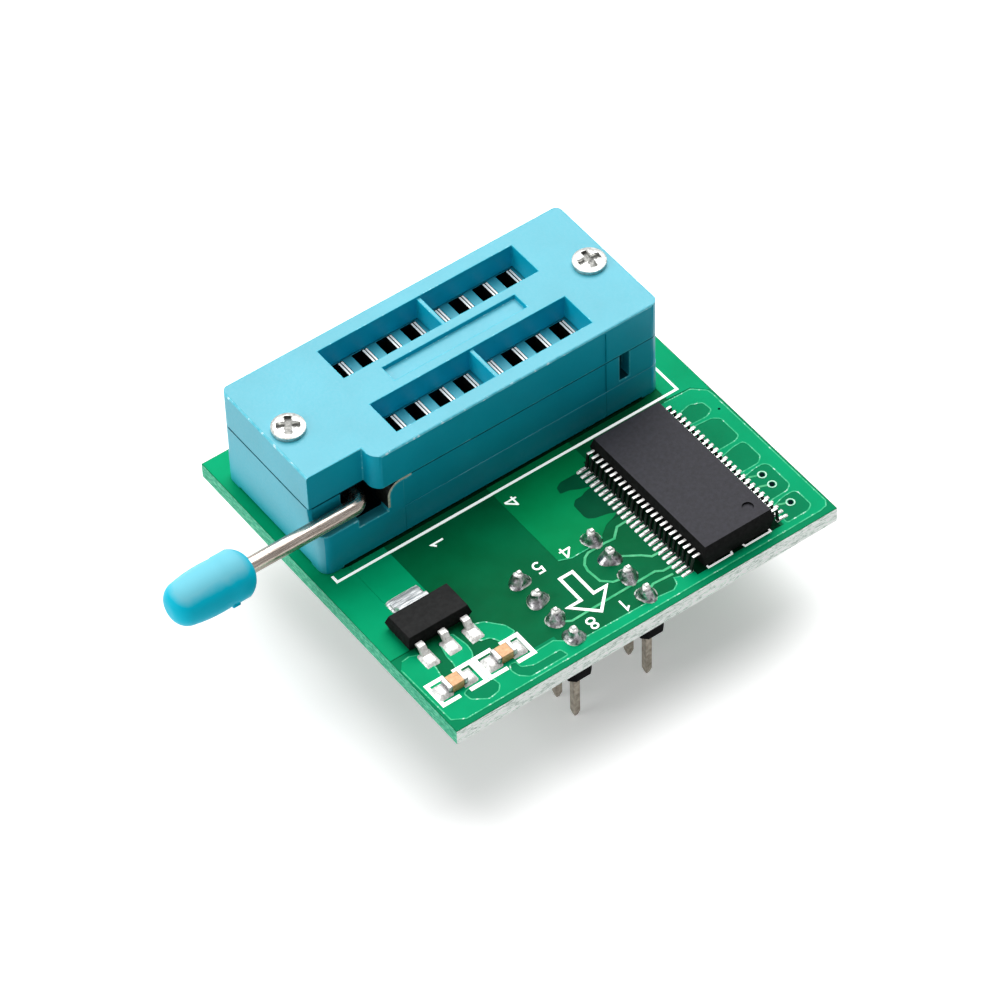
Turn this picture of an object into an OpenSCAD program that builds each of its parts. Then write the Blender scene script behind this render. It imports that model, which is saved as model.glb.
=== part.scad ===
// Programmer voltage adapter.
// A small circuit board carries a lever-operated chip socket, a voltage regulator, a level shifter and
// two chip capacitors. Two pin strips under the board plug into an eight-pin socket.
// Origin: centre of the eight plug pins, in the plane of the strips' undersides.
// +X runs along the socket away from the lever, +Y from the plug to the socket, +Z up.

/* [Board] */
// Board size along the socket
board_w = 40; // [37.5:0.5:60]
// Board size across the socket
board_d = 37.1; // [35.5:0.1:60]
// Board thickness
board_t = 1.6; // [0.8:0.1:2.4]
// Board's left edge to the plug's centre
plug_from_left = 17.5; // [15.5:0.1:19]
// Board's front edge to the plug's centre
plug_from_front = 6; // [5.2:0.1:9]

/* [Plug] */
// Distance between neighbouring plug pins
pitch = 2.54; // [2.4:0.01:2.6]
// Distance between the two rows, in the plug and in the socket
row_gap = 7.62; // [7.4:0.01:8]
// Side of a square pin
pin_side = 0.64; // [0.5:0.01:0.7]
// Pin length below the insulator
pin_below = 6; // [3:0.1:12]
// Pin length above the board
pin_above = 1.4; // [1:0.1:2.5]
// Height of the insulator
insulator_h = 2.5; // [1.5:0.1:5]
// Width of the insulator
insulator_w = 2.5; // [2:0.1:2.8]
// Diameter of the board's holes for the plug pins
header_hole_d = 1; // [1:0.05:1.2]

/* [Socket] */
// Board's left edge to the socket
socket_from_left = 1; // [0.5:0.1:2]
// Board's front edge to the socket
socket_from_front = 20.1; // [19.5:0.1:21]
// Length of the socket
socket_l = 35.56; // [32:0.02:42]
// Width of the socket
socket_w = 14.7; // [14.5:0.1:18]
// Height of the base's top above the board
base_h = 6.9; // [6.4:0.1:9]
// Height of the cover
cover_h = 4; // [3.4:0.1:6]
// Height of the base's feet
foot_h = 0.2; // [0.1:0.05:0.5]
// Length of a foot
foot_l = 2; // [1.5:0.1:3]
// Radius of the upright corners
corner_r = 1; // [0.5:0.1:2]
// Radius of the cover's top edges
top_edge_r = 0.2; // [0.1:0.05:0.5]
// Height of the fine ledge along the base's long sides
ledge_h = 3.3; // [2:0.1:3.5]
// Socket's left end to its first contact
first_pin_x = 11.2; // [11:0.1:13]
// Last contact to the socket's right end
last_pin_inset = 6.58; // [6.4:0.02:8]
// Width of a slot in the cover
slot_w = 3.85; // [3.2:0.05:4]
// Depth of a slot in the cover
slot_depth = 2.6; // [2:0.1:2.8]
// Thickness of the web half-way along a slot
divider_t = 0.4; // [0.3:0.05:0.6]
// Width of the sunk panel between the slots
panel_w = 1.8; // [1:0.1:3]
// Depth of the sunk panel
panel_depth = 0.25; // [0.1:0.05:0.5]
// Travel of the slider
slide_travel = 0.8; // [0.6:0.05:0.9]

/* [Contacts] */
// Thickness of a contact's sheet metal
tine_t = 0.18; // [0.12:0.01:0.22]
// Width of a contact's tines
tine_w = 3.6; // [2:0.1:3.6]
// Gap between closed tines
tine_gap = 0.16; // [0.1:0.02:0.2]
// Tail length below the board
tail_below = 1.3; // [0.8:0.1:2]
// Thickness of a tail
tail_t = 0.3; // [0.2:0.05:0.4]
// Width of a tail
tail_w = 0.5; // [0.3:0.05:0.6]
// Diameter of the board's holes for the tails
tail_hole_d = 0.9; // [0.8:0.05:1.1]

/* [Lever] */
// Diameter of the lever's rod
rod_d = 1.5; // [1.2:0.05:1.6]
// Socket's left end to the lever's pivot
pivot_x = 4.74; // [4.7:0.02:5.2]
// Pivot to the knob's far end
lever_reach = 19.5; // [16:0.1:30]
// Diameter of the knob
knob_d = 4.5; // [3:0.1:6]
// Length of the knob
knob_l = 8.1; // [6:0.1:12]
// Radius of the knob's edge at its far end
knob_far_r = 1.6; // [0.5:0.1:2]
// Radius of the knob's edge at the rod
knob_near_r = 2; // [0.5:0.1:2]
// Thickness of the spring strip
strip_t = 0.25; // [0.15:0.05:0.3]

/* [Screws] */
// Socket's end to the screw
screw_inset = 2.05; // [1.9:0.05:2.1]
// Diameter of the screw's shank
screw_d = 1.6; // [1.2:0.1:1.8]
// Diameter of the screw's head
screw_head_d = 3; // [2.4:0.1:3.4]
// Height of the screw's head
screw_head_h = 0.6; // [0.4:0.05:0.9]

/* [Regulator] */
// Board's left edge to the regulator's centre
regulator_from_left = 5; // [4:0.1:6]
// Board's front edge to the regulator's centre
regulator_from_front = 10.8; // [9.6:0.1:12.5]
// Length of the regulator's body
regulator_l = 6.5; // [6:0.1:7]
// Width of the regulator's body
regulator_w = 3.5; // [3:0.1:4]
// Height of the regulator
regulator_h = 1.65; // [1.2:0.05:2]
// Regulator size over leads and tab
regulator_span = 7; // [6.4:0.1:7.6]

/* [Level shifter] */
// Board's left edge to the shifter's centre
shifter_from_left = 30.5; // [29.8:0.1:31]
// Board's front edge to the shifter's centre
shifter_from_front = 9.3; // [9:0.1:10]
// Length of the shifter's body
shifter_l = 15.9; // [15.6:0.1:16.2]
// Width of the shifter's body
shifter_w = 7.5; // [7:0.1:7.8]
// Height of the shifter
shifter_h = 2.6; // [2:0.1:3]
// Shifter size over its leads
shifter_span = 10.35; // [9.8:0.05:10.6]
// Distance between neighbouring leads of the shifter
shifter_pitch = 0.635; // [0.5:0.005:0.65]

/* [Capacitors] */
// Board's left edge to the first capacitor's centre
capacitor_1_from_left = 2.8; // [2:0.1:4]
// Board's left edge to the second capacitor's centre
capacitor_2_from_left = 7.85; // [7:0.05:9]
// Board's front edge to the capacitors' centres
capacitor_from_front = 4.1; // [3:0.1:5]
// Length of a capacitor
capacitor_l = 2; // [1.6:0.1:2.4]
// Width of a capacitor
capacitor_w = 1.25; // [0.8:0.05:1.6]
// Height of a capacitor
capacitor_h = 0.9; // [0.5:0.05:1.3]
// Length of a capacitor's metal end
capacitor_end = 0.42; // [0.25:0.01:0.5]

/* [Hidden] */
$fn = 64;
// Steps round a circle much larger than the part it shapes
large_circle_fn = 512;
// Extra depth of a cut past the face it starts from
over = 1;
// Clearances: sliding faces, turning shaft, parts that only pass each other
slide_gap = 0.1;
bearing_gap = 0.05;
pass_gap = 0.15;
touch_gap = 0.02;

contacts_per_row = 8;
plug_pins_per_row = 4;
shifter_leads_per_side = 24;

board_top = insulator_h + board_t;
last_pin_x = socket_l - last_pin_inset;
contact_pitch = (last_pin_x - first_pin_x) / (contacts_per_row - 1);
socket_top = base_h + cover_h;
front_y = -socket_w / 2;

// Fine ledge: the base above it, and the cover, stand in by this much
ledge_step = 0.08;
body_w = socket_w - 2 * ledge_step;

// Lever: the crank sits 45 degrees before the top at rest and 45 degrees past it when open
crank_e = slide_travel / (2 * sin(45));
crank_dx = crank_e * cos(45);
rod_r = rod_d / 2;
crank_headroom = 0.13;
bay_floor_gap = 0.4;
pivot_z = base_h - crank_headroom - crank_e - rod_r;
rest_z = pivot_z - rod_r - bearing_gap;
bay_z = pivot_z - rod_r - crank_e - bay_floor_gap;
bend_inside_r = 0.25;
bend_r = rod_r + bend_inside_r;
recess_play = 0.35;
recess_d = rod_d + recess_play;
recess_y = front_y + recess_d;
arm_y = front_y + recess_d / 2;
step_x = pivot_x + rod_r + slide_gap;
step_r = 1.3;
notch_x0 = pivot_x - rod_r - pass_gap;
mouth_room = 0.6;
mouth_x0 = notch_x0 - mouth_room;
notch_room = 1.3;
notch_x1 = pivot_x + rod_r + notch_room;
knob_end_wall = 3;
knob_bore_l = knob_l - knob_end_wall;
// Radius of the knob's slightly bulging side
knob_side_r = 14;

// Bearing webs across the lever's bay, behind the open mouth round the lever's bend
mouth_depth = 2;
web_front_t = 0.8;
web_rear_t = 1.5;
web_y0 = arm_y + bend_r + mouth_depth;
web_y1 = web_y0 + web_front_t;
crank_y = -web_y1 - 2 * slide_gap;
rear_web_y = -web_y1;

// Slider and its hooks
slider_z0 = base_h + slide_gap;
cavity_z = socket_top - slot_depth;
slider_z1 = cavity_z - slide_gap;
window_w = slot_w + touch_gap;
window_back = 1.35;
rib_face = tine_gap / 2 + tine_t + touch_gap;
slider_rail = 0.65;
slider_left_end = 2.25;
slider_right_end = 1.2;
slider_half_w = row_gap / 2 + window_w / 2 + slider_rail;
slider_x0 = first_pin_x - window_back - slider_left_end;
slider_x1 = last_pin_x + rib_face + slider_right_end;
hook_y = 1;
hook_w = 1.15;
hook_gap = 0.06;
hook_t = 0.8;
crank_x = pivot_x - crank_dx;
hook_x0 = crank_x - rod_r - hook_gap - hook_t;
hook_x1 = crank_x + rod_r + hook_gap + hook_t;
hook_grip = 0.25;
hook_z = pivot_z - hook_grip;
bay_x0 = crank_x - rod_r - pass_gap;
bay_x1 = hook_x1 + slide_travel + pass_gap;

// Slots, sunk panel and side window of the socket
slot_left_end = 0.8;
slot_right_end = 0.2;
slot_x0 = first_pin_x - window_back - slot_left_end;
slot_x1 = last_pin_x + rib_face + slot_right_end;
divider_x = (first_pin_x + last_pin_x - window_back + rib_face) / 2;
divider_drop = 0.25;
panel_left = 1.1;
panel_right = 2.8;
panel_x0 = first_pin_x + panel_left;
panel_x1 = last_pin_x - panel_right;
side_window_from_end = 3.3;
side_window_w = 1.05;
side_window_h = 3.2;
side_window_d = 1.2;

// Contacts
contact_z = 1.6;
contact_root = 0.4;
contact_step = 2 * tine_t;
contact_knee_z = slider_z0 - 2 * slide_gap;
contact_top = slider_z1;
chamber_x0 = -0.95;
chamber_x1 = 0.9;
chamber_play = 0.25;
chamber_w = tine_w + 2 * chamber_play;
tail_play = 0.06;

// Screw's dome and cross recess
screw_dome_r = 1.5 * screw_head_d;
screw_recess_l = 2.1;
screw_recess_w = 0.6;
screw_recess_depth = 0.42;
// Turn of the cross in the left and the right screw
screw_turns = [58, -7];

// Spring strip
strip_r = 1.2;
strip_foot = 0.35;
strip_l = 2.5;
strip_z = bay_z + strip_foot;
strip_end_x = notch_x1 + strip_l;
strip_depth = 1.9;
strip_y1 = front_y + strip_depth;

// Plug: corner cut between the insulator's cells, length of a pin's taper
insulator_chamfer = 0.5;
pin_taper = pin_side;

// Solder cones: foot radius, top radius and height
plug_solder_r = 0.85;
plug_solder_top_r = pin_side * 0.6;
plug_solder_h = 1;
tail_solder_r = 0.75;
tail_solder_top_r = tail_w * 0.7;
tail_solder_h = 0.9;

// Small moulded parts: how far the faces lean, height of the lead exits, gap under the body
draft = 0.25;
regulator_exit = regulator_h / 2;
regulator_lift = 0.06;
regulator_lead_t = 0.28;
regulator_lead_w = 0.7;
regulator_lead_pitch = 2.3;
regulator_tab_w = 3;
regulator_shoulder = 0.45;
regulator_foot = 0.75;
shifter_exit_share = 0.63;
shifter_exit = shifter_exit_share * shifter_h;
shifter_lift = 0.15;
shifter_lead_t = 0.16;
shifter_lead_w = 0.27;
shifter_shoulder = 0.68;
shifter_foot = 0.55;
dimple_d = 1.05;
dimple_depth = 0.06;
dimple_from_side = 1.6;
dimple_from_end = 1.65;
capacitor_skin = 0.02;

// Moves from the part's origin to a spot on the board's top
module on_board(x, y) {
    translate([x - plug_from_left, y - plug_from_front, board_top]) children();
}

// Socket's own frame: left end, centre line, board's top
module in_socket() {
    on_board(socket_from_left, socket_from_front + socket_w / 2) children();
}

// Place of a socket contact in the socket's frame; row is 1 at the back and -1 at the front
module contact_axis(i, row) {
    translate([first_pin_x + i * contact_pitch, row * row_gap / 2, 0]) children();
}

module each_contact() {
    for (i = [0:contacts_per_row - 1], row = [-1, 1]) contact_axis(i, row) children();
}

// Place of a plug pin, numbered round the plug from the right row's front pin
function plug_pin_side(n) = n <= plug_pins_per_row ? 1 : -1;
function plug_pin_step(n) = n <= plug_pins_per_row ? n - 1 : 2 * plug_pins_per_row - n;
module at_plug_pin(n) {
    x = plug_pin_side(n) * row_gap / 2;
    y = (plug_pin_step(n) - (plug_pins_per_row - 1) / 2) * pitch;
    translate([x, y, 0]) children();
}

// Extrudes an X-Z outline along Y, centred
module along_y(w) {
    rotate([90, 0, 0]) linear_extrude(w, center = true) children();
}

// Extrudes a Y-Z outline along X, centred
module along_x(l) {
    rotate([90, 0, 90]) linear_extrude(l, center = true) children();
}

// Plan outline with round corners, from the left end, centred on Y
module rounded_outline(l, w, r) {
    translate([r, -w / 2]) square([l - 2 * r, w]);
    translate([0, r - w / 2]) square([l, w - 2 * r]);
    for (x = [r, l - r], y = [r - w / 2, w / 2 - r]) translate([x, y]) circle(r);
}

// Upright outline whose two top corners are round, from x0 to x1 and z0 to z1
module round_top_outline(x0, x1, z0, z1, r) {
    translate([x0, z0]) square([x1 - x0, z1 - z0 - r]);
    translate([x0 + r, z0]) square([x1 - x0 - 2 * r, z1 - z0]);
    for (x = [x0 + r, x1 - r]) translate([x, z1 - r]) circle(r);
}

// Plan of the step that the lever lies in, with the round edge beside it
module lever_recess_plan() {
    translate([-over, front_y - over]) square([step_x + over, recess_d + over]);
    difference() {
        translate([step_x - over, front_y - over]) square([step_r + over, step_r + over]);
        translate([step_x + step_r, front_y + step_r]) circle(step_r);
        translate([step_x, front_y + step_r]) square(over);
    }
}

// Box given by its two corners
module box(a, b) {
    translate(a) cube(b - a);
}

module circuit_board() {
    color("mediumseagreen")
    difference() {
        translate([-plug_from_left, -plug_from_front, insulator_h]) cube([board_w, board_d, board_t]);
        for (n = [1:2 * plug_pins_per_row]) at_plug_pin(n)
            translate([0, 0, insulator_h - over]) cylinder(d = header_hole_d, h = board_t + 2 * over);
        in_socket() each_contact()
            translate([0, 0, -board_t - over]) cylinder(d = tail_hole_d, h = board_t + 2 * over);
    }
}

// Round-bottomed groove that the lever's shaft drops into
module shaft_groove(y0, y1) {
    r = rod_r + bearing_gap;
    translate([pivot_x, y0, pivot_z]) rotate([-90, 0, 0]) cylinder(r = r, h = y1 - y0);
    box([pivot_x - r, y0, pivot_z], [pivot_x + r, y1, base_h + over]);
}

// Region over the spring strip's seat: the strip follows the rounded edge that it leaves
module strip_seat_plan() {
    difference() {
        translate([notch_x1, strip_z]) square([strip_end_x - notch_x1, base_h - strip_z + over]);
        strip_inner_plan();
    }
}

module strip_inner_plan() {
    x = notch_x1 + strip_t;
    z = base_h - strip_t;
    translate([x, strip_z - over]) square([strip_end_x - x + over, z - strip_r - strip_z + over]);
    translate([x + strip_r, strip_z - over]) square([strip_end_x - x - strip_r + over, z - strip_z + over]);
    translate([x + strip_r, z - strip_r]) circle(strip_r);
}

module socket_base() {
    color("lightseagreen")
    in_socket()
    difference() {
        union() {
            linear_extrude(foot_h) intersection() {
                rounded_outline(socket_l, socket_w, corner_r);
                for (x = [0, socket_l - foot_l], y = [front_y, -front_y - foot_l])
                    translate([x, y]) square(foot_l);
            }
            translate([0, 0, foot_h]) linear_extrude(ledge_h - foot_h)
                rounded_outline(socket_l, socket_w, corner_r);
            translate([0, 0, ledge_h]) linear_extrude(base_h - ledge_h)
                rounded_outline(socket_l, body_w, corner_r);
        }
        // Step for the lever's arm, notch and open mouth for its bend, bay for its crank
        box([-over, front_y - over, rest_z], [notch_x0 + over, recess_y, base_h + over]);
        box([notch_x0, front_y - over, bay_z], [notch_x1, web_y0, base_h + over]);
        box([mouth_x0, recess_y - pass_gap, rest_z], [notch_x1, web_y0, base_h + over]);
        box([bay_x0, web_y1, bay_z], [bay_x1, rear_web_y, base_h + over]);
        for (side = [-1, 1]) translate([0, side * (hook_y + hook_w / 2), 0])
            box([hook_x0 - pass_gap, -hook_w / 2 - pass_gap, hook_z - pass_gap],
                [bay_x1, hook_w / 2 + pass_gap, base_h + over]);
        shaft_groove(web_y0 - over, web_y1 + over);
        shaft_groove(rear_web_y - over, rear_web_y + web_rear_t);
        translate([0, (front_y - over + strip_y1) / 2, 0])
            along_y(strip_y1 - front_y + over) strip_seat_plan();
        // Chambers for the contacts, with a slit for each tail
        each_contact() {
            box([chamber_x0, -chamber_w / 2, contact_z], [chamber_x1, chamber_w / 2, base_h + over]);
            cube([tail_t + 2 * tail_play, tail_w + 2 * tail_play, 2 * (contact_z + over)], center = true);
        }
        // Pilot holes for the screws and the window at the right end
        for (x = [screw_inset, socket_l - screw_inset])
            translate([x, 0, contact_z]) cylinder(d = screw_d + 2 * touch_gap, h = base_h);
        box([socket_l - side_window_from_end - side_window_w, front_y - over, base_h - side_window_h],
            [socket_l - side_window_from_end, front_y + side_window_d, base_h + over]);
    }
}

module cover_block() {
    intersection() {
        translate([0, 0, base_h]) linear_extrude(cover_h) difference() {
            rounded_outline(socket_l, body_w, corner_r);
            lever_recess_plan();
        }
        along_y(socket_w) round_top_outline(0, socket_l, base_h, socket_top, top_edge_r);
        translate([socket_l / 2, 0, 0]) along_x(socket_l)
            round_top_outline(-body_w / 2, body_w / 2, base_h, socket_top, top_edge_r);
    }
}

module socket_cover() {
    pad_z = pivot_z + rod_r + bearing_gap;
    color("lightseagreen")
    in_socket() {
        difference() {
            cover_block();
            // Room for the slider and its two arms
            box([slider_x0 - pass_gap, -slider_half_w - slide_gap, base_h - over],
                [slider_x1 + slide_travel + pass_gap, slider_half_w + slide_gap, cavity_z]);
            for (side = [-1, 1]) translate([0, side * (hook_y + hook_w / 2), 0])
                box([hook_x0 - pass_gap, -hook_w / 2 - pass_gap, base_h - over],
                    [slider_x0, hook_w / 2 + pass_gap, cavity_z]);
            // Slots for the chip's legs, left whole at the web half-way along
            for (row = [-1, 1]) translate([0, row * row_gap / 2, 0]) {
                box([slot_x0, -slot_w / 2, cavity_z - over],
                    [divider_x - divider_t / 2, slot_w / 2, socket_top + over]);
                box([divider_x + divider_t / 2, -slot_w / 2, cavity_z - over],
                    [slot_x1, slot_w / 2, socket_top + over]);
                box([divider_x - divider_t, -slot_w / 2, socket_top - divider_drop],
                    [divider_x + divider_t, slot_w / 2, socket_top + over]);
            }
            box([panel_x0, -panel_w / 2, socket_top - panel_depth],
                [panel_x1, panel_w / 2, socket_top + over]);
            for (x = [screw_inset, socket_l - screw_inset])
                translate([x, 0, base_h - over]) cylinder(d = screw_d + 2 * pass_gap, h = cover_h + 2 * over);
        }
        // Pads that close the shaft's bearings from above
        box([pivot_x - rod_r, web_y0 + slide_gap, pad_z],
            [pivot_x + rod_r, web_y1 - slide_gap, base_h + over]);
        box([pivot_x - rod_r, rear_web_y + slide_gap, pad_z],
            [pivot_x + rod_r, rear_web_y + web_rear_t - slide_gap, base_h + over]);
    }
}

module socket_slider() {
    color("turquoise")
    in_socket()
    difference() {
        union() {
            box([slider_x0, -slider_half_w, slider_z0], [slider_x1, slider_half_w, slider_z1]);
            for (side = [-1, 1]) translate([0, side * (hook_y + hook_w / 2), 0]) {
                box([hook_x0, -hook_w / 2, slider_z0], [slider_x0, hook_w / 2, slider_z1]);
                box([hook_x0, -hook_w / 2, hook_z], [hook_x0 + hook_t, hook_w / 2, slider_z0]);
                box([hook_x1 - hook_t, -hook_w / 2, hook_z], [hook_x1, hook_w / 2, slider_z0]);
            }
        }
        each_contact()
            box([-window_back, -window_w / 2, slider_z0 - over], [rib_face, window_w / 2, slider_z1 + over]);
    }
}

// Pan-head screw with a cross recess, head's underside at z = 0
module screw(shank_l, cross_turn) {
    difference() {
        intersection() {
            cylinder(d = screw_head_d, h = screw_head_h);
            translate([0, 0, screw_head_h - screw_dome_r]) sphere(screw_dome_r);
        }
        for (arm = [0, 90]) rotate([0, 0, cross_turn + arm]) translate([0, 0, screw_head_h])
            cube([screw_recess_l, screw_recess_w, 2 * screw_recess_depth], center = true);
    }
    translate([0, 0, -shank_l]) cylinder(d = screw_d, h = shank_l);
}

module cover_screws() {
    color("silver")
    in_socket()
    for (i = [0, 1])
        translate([i == 0 ? screw_inset : socket_l - screw_inset, 0, socket_top])
            screw(socket_top - contact_z - 2 * slide_gap, screw_turns[i]);
}

module lever_rod() {
    shaft_y0 = arm_y + bend_r;
    arm_end = pivot_x - lever_reach + knob_end_wall;
    color("gainsboro")
    in_socket() {
        translate([arm_end, arm_y, pivot_z]) rotate([0, 90, 0])
            cylinder(r = rod_r, h = pivot_x - bend_r - arm_end);
        translate([pivot_x - bend_r, shaft_y0, pivot_z]) rotate([0, 0, -90])
            rotate_extrude(angle = 90) translate([bend_r, 0]) circle(rod_r);
        translate([pivot_x, shaft_y0, pivot_z]) rotate([-90, 0, 0])
            cylinder(r = rod_r, h = -crank_y - shaft_y0);
        translate([crank_x, -crank_y, pivot_z + crank_dx]) rotate([-90, 0, 0])
            cylinder(r = rod_r, h = 2 * crank_y);
        translate([pivot_x, crank_y, pivot_z]) rotate([-90, 0, 0])
            cylinder(r = rod_r, h = rear_web_y + web_rear_t - slide_gap - crank_y);
    }
}

// Centre of a rounded edge of the knob, from the knob's axis
function knob_edge_x(r) = max(rod_r / 2,
    knob_d / 2 - knob_side_r + sqrt(pow(knob_side_r - r, 2) - pow(knob_l / 2 - r, 2)));

// Place along the axis, from the knob's middle, where a rounded edge runs into the side
function knob_edge_end(r) = (knob_l / 2 - r) * knob_side_r / (knob_side_r - r);

// Half outline of the knob, from its far end to the rod's end
module knob_outline() {
    knob_r = knob_d / 2;
    side_y0 = knob_l / 2 - knob_edge_end(knob_far_r);
    side_y1 = knob_l / 2 + knob_edge_end(knob_near_r);
    intersection() {
        square([knob_r, knob_l]);
        union() {
            square([knob_edge_x(knob_far_r), knob_l / 2]);
            translate([0, knob_l / 2]) square([knob_edge_x(knob_near_r), knob_l / 2]);
            translate([knob_edge_x(knob_far_r), knob_far_r]) circle(knob_far_r);
            translate([knob_edge_x(knob_near_r), knob_l - knob_near_r]) circle(knob_near_r);
            intersection() {
                translate([0, side_y0]) square([knob_r, side_y1 - side_y0]);
                translate([knob_r - knob_side_r, knob_l / 2]) circle(knob_side_r, $fn = large_circle_fn);
            }
        }
    }
}

module lever_knob() {
    color("deepskyblue")
    in_socket()
    translate([pivot_x - lever_reach, arm_y, pivot_z]) rotate([0, 90, 0])
    difference() {
        rotate_extrude() knob_outline();
        translate([0, 0, knob_end_wall]) cylinder(r = rod_r + touch_gap / 2, h = knob_bore_l + over);
    }
}

module lever_spring_strip() {
    y0 = front_y + ledge_step;
    color("silver")
    in_socket()
    translate([0, (y0 + strip_y1) / 2, 0]) along_y(strip_y1 - y0) difference() {
        union() {
            r = strip_r + strip_t;
            translate([notch_x1, strip_z]) square([strip_end_x - notch_x1, base_h - r - strip_z]);
            translate([notch_x1 + r, strip_z]) square([strip_end_x - notch_x1 - r, base_h - strip_z]);
            translate([notch_x1 + r, base_h - r]) circle(r);
        }
        strip_inner_plan();
    }
}

// Contact: two tines from one foot, and a tail; the right tine leans in, pressed by the slider's rib
module contact(i, row) {
    fixed_x = -tine_gap / 2 - tine_t;
    moving_x = tine_gap / 2;
    color("lightgray")
    in_socket() contact_axis(i, row) {
        along_y(tine_w) polygon([
            [fixed_x, contact_z],
            [moving_x + contact_root + tine_t, contact_z],
            [moving_x + contact_root + tine_t, contact_z + contact_step],
            [moving_x + tine_t, contact_knee_z],
            [moving_x + tine_t, contact_top],
            [moving_x, contact_top],
            [moving_x, contact_knee_z],
            [moving_x + contact_root, contact_z + contact_step],
            [moving_x + contact_root, contact_z + tine_t],
            [fixed_x + tine_t, contact_z + tine_t],
            [fixed_x + tine_t, contact_top],
            [fixed_x, contact_top]
        ]);
        box([-tail_t / 2, -tail_w / 2, -board_t - tail_below], [tail_t / 2, tail_w / 2, contact_z]);
    }
}

// Row of eight-sided cells, one for each pin
module plug_insulator(side) {
    chamfer = insulator_chamfer;
    half = insulator_w / 2;
    cells = [for (i = [0:plug_pins_per_row - 1]) (i - plug_pins_per_row / 2) * pitch];
    right = [for (y = cells) each [[half - chamfer, y], [half, y + chamfer], [half, y + pitch - chamfer]]];
    end_y = plug_pins_per_row / 2 * pitch;
    outline = concat(right, [[half - chamfer, end_y]]);
    color("dimgray")
    difference() {
        translate([side * row_gap / 2, 0, 0]) linear_extrude(insulator_h)
            polygon(concat(outline, [for (p = outline) -p]));
        for (n = [1:2 * plug_pins_per_row]) at_plug_pin(n)
            cube([pin_side + touch_gap, pin_side + touch_gap, 4 * insulator_h], center = true);
    }
}

// Square pin with tapered ends
module plug_pin(n) {
    tip = pin_taper;
    half = pin_side / 2;
    z0 = -pin_below;
    z1 = board_top + pin_above;
    outline = [
        [-half / 2, z0], [half / 2, z0], [half, z0 + tip], [half, z1 - tip],
        [half / 2, z1], [-half / 2, z1], [-half, z1 - tip], [-half, z0 + tip]
    ];
    color("silver")
    at_plug_pin(n) intersection() {
        along_y(pin_side) polygon(outline);
        along_x(pin_side) polygon(outline);
    }
}

module plug_solder() {
    color("silver")
    for (n = [1:2 * plug_pins_per_row]) at_plug_pin(n) translate([0, 0, board_top]) difference() {
        cylinder(r1 = plug_solder_r, r2 = plug_solder_top_r, h = plug_solder_h);
        cube([pin_side + touch_gap, pin_side + touch_gap, 4 * plug_solder_h], center = true);
    }
}

module contact_solder() {
    color("silver")
    in_socket() each_contact() translate([0, 0, -board_t]) difference() {
        mirror([0, 0, 1]) cylinder(r1 = tail_solder_r, r2 = tail_solder_top_r, h = tail_solder_h);
        cube([tail_t + touch_gap, tail_w + touch_gap, 4 * tail_solder_h], center = true);
    }
}

// Moulded body, widest at the height where its leads come out
module moulded_body(l, w, z0, z1, exit_z) {
    intersection() {
        along_y(w) polygon([
            [draft - l / 2, z0], [l / 2 - draft, z0], [l / 2, exit_z],
            [l / 2 - draft, z1], [draft - l / 2, z1], [-l / 2, exit_z]
        ]);
        along_x(l) polygon([
            [draft - w / 2, z0], [w / 2 - draft, z0], [w / 2, exit_z],
            [w / 2 - draft, z1], [draft - w / 2, z1], [-w / 2, exit_z]
        ]);
    }
}

// Bent lead of width w: out of the body at reach r0, down to the board, foot's end at reach r1
module bent_lead(r0, r1, exit_z, t, w, shoulder, foot) {
    knee = r0 + shoulder;
    heel = r1 - foot;
    along_y(w) polygon([
        [r0, exit_z + t / 2], [knee + t / 2, exit_z + t / 2], [heel + t / 2, t], [r1, t],
        [r1, 0], [heel - t / 2, 0], [knee - t / 2, exit_z - t / 2], [r0, exit_z - t / 2]
    ]);
}

module regulator_body() {
    color("dimgray")
    on_board(regulator_from_left, regulator_from_front)
        moulded_body(regulator_l, regulator_w, regulator_lift, regulator_h, regulator_exit);
}

module regulator_lead(w) {
    bent_lead(regulator_w / 2, regulator_span / 2, regulator_exit, regulator_lead_t, w,
        regulator_shoulder, regulator_foot);
}

module regulator_leads() {
    color("silver")
    on_board(regulator_from_left, regulator_from_front)
    for (i = [-1:1]) translate([i * regulator_lead_pitch, 0, 0]) rotate([0, 0, -90])
        regulator_lead(regulator_lead_w);
}

module regulator_tab() {
    color("silver")
    on_board(regulator_from_left, regulator_from_front) rotate([0, 0, 90])
        regulator_lead(regulator_tab_w);
}

module shifter_body() {
    color("dimgray")
    on_board(shifter_from_left, shifter_from_front)
    difference() {
        moulded_body(shifter_w, shifter_l, shifter_lift, shifter_h, shifter_exit);
        translate([shifter_w / 2 - dimple_from_side, dimple_from_end - shifter_l / 2, shifter_h])
            cylinder(d = dimple_d, h = 2 * dimple_depth, center = true);
    }
}

// One row of leads; side is -1 on the left and 1 on the right
module shifter_leads(side) {
    color("silver")
    on_board(shifter_from_left, shifter_from_front)
    for (i = [0:shifter_leads_per_side - 1])
        translate([0, (i - (shifter_leads_per_side - 1) / 2) * shifter_pitch, 0])
            rotate([0, 0, side > 0 ? 0 : 180])
            bent_lead(shifter_w / 2, shifter_span / 2, shifter_exit, shifter_lead_t, shifter_lead_w,
                shifter_shoulder, shifter_foot);
}

module capacitor_body(from_left) {
    color("bisque")
    on_board(from_left, capacitor_from_front)
        box([capacitor_end - capacitor_l / 2, capacitor_skin - capacitor_w / 2, capacitor_skin],
            [capacitor_l / 2 - capacitor_end, capacitor_w / 2 - capacitor_skin,
                capacitor_h - capacitor_skin]);
}

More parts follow.
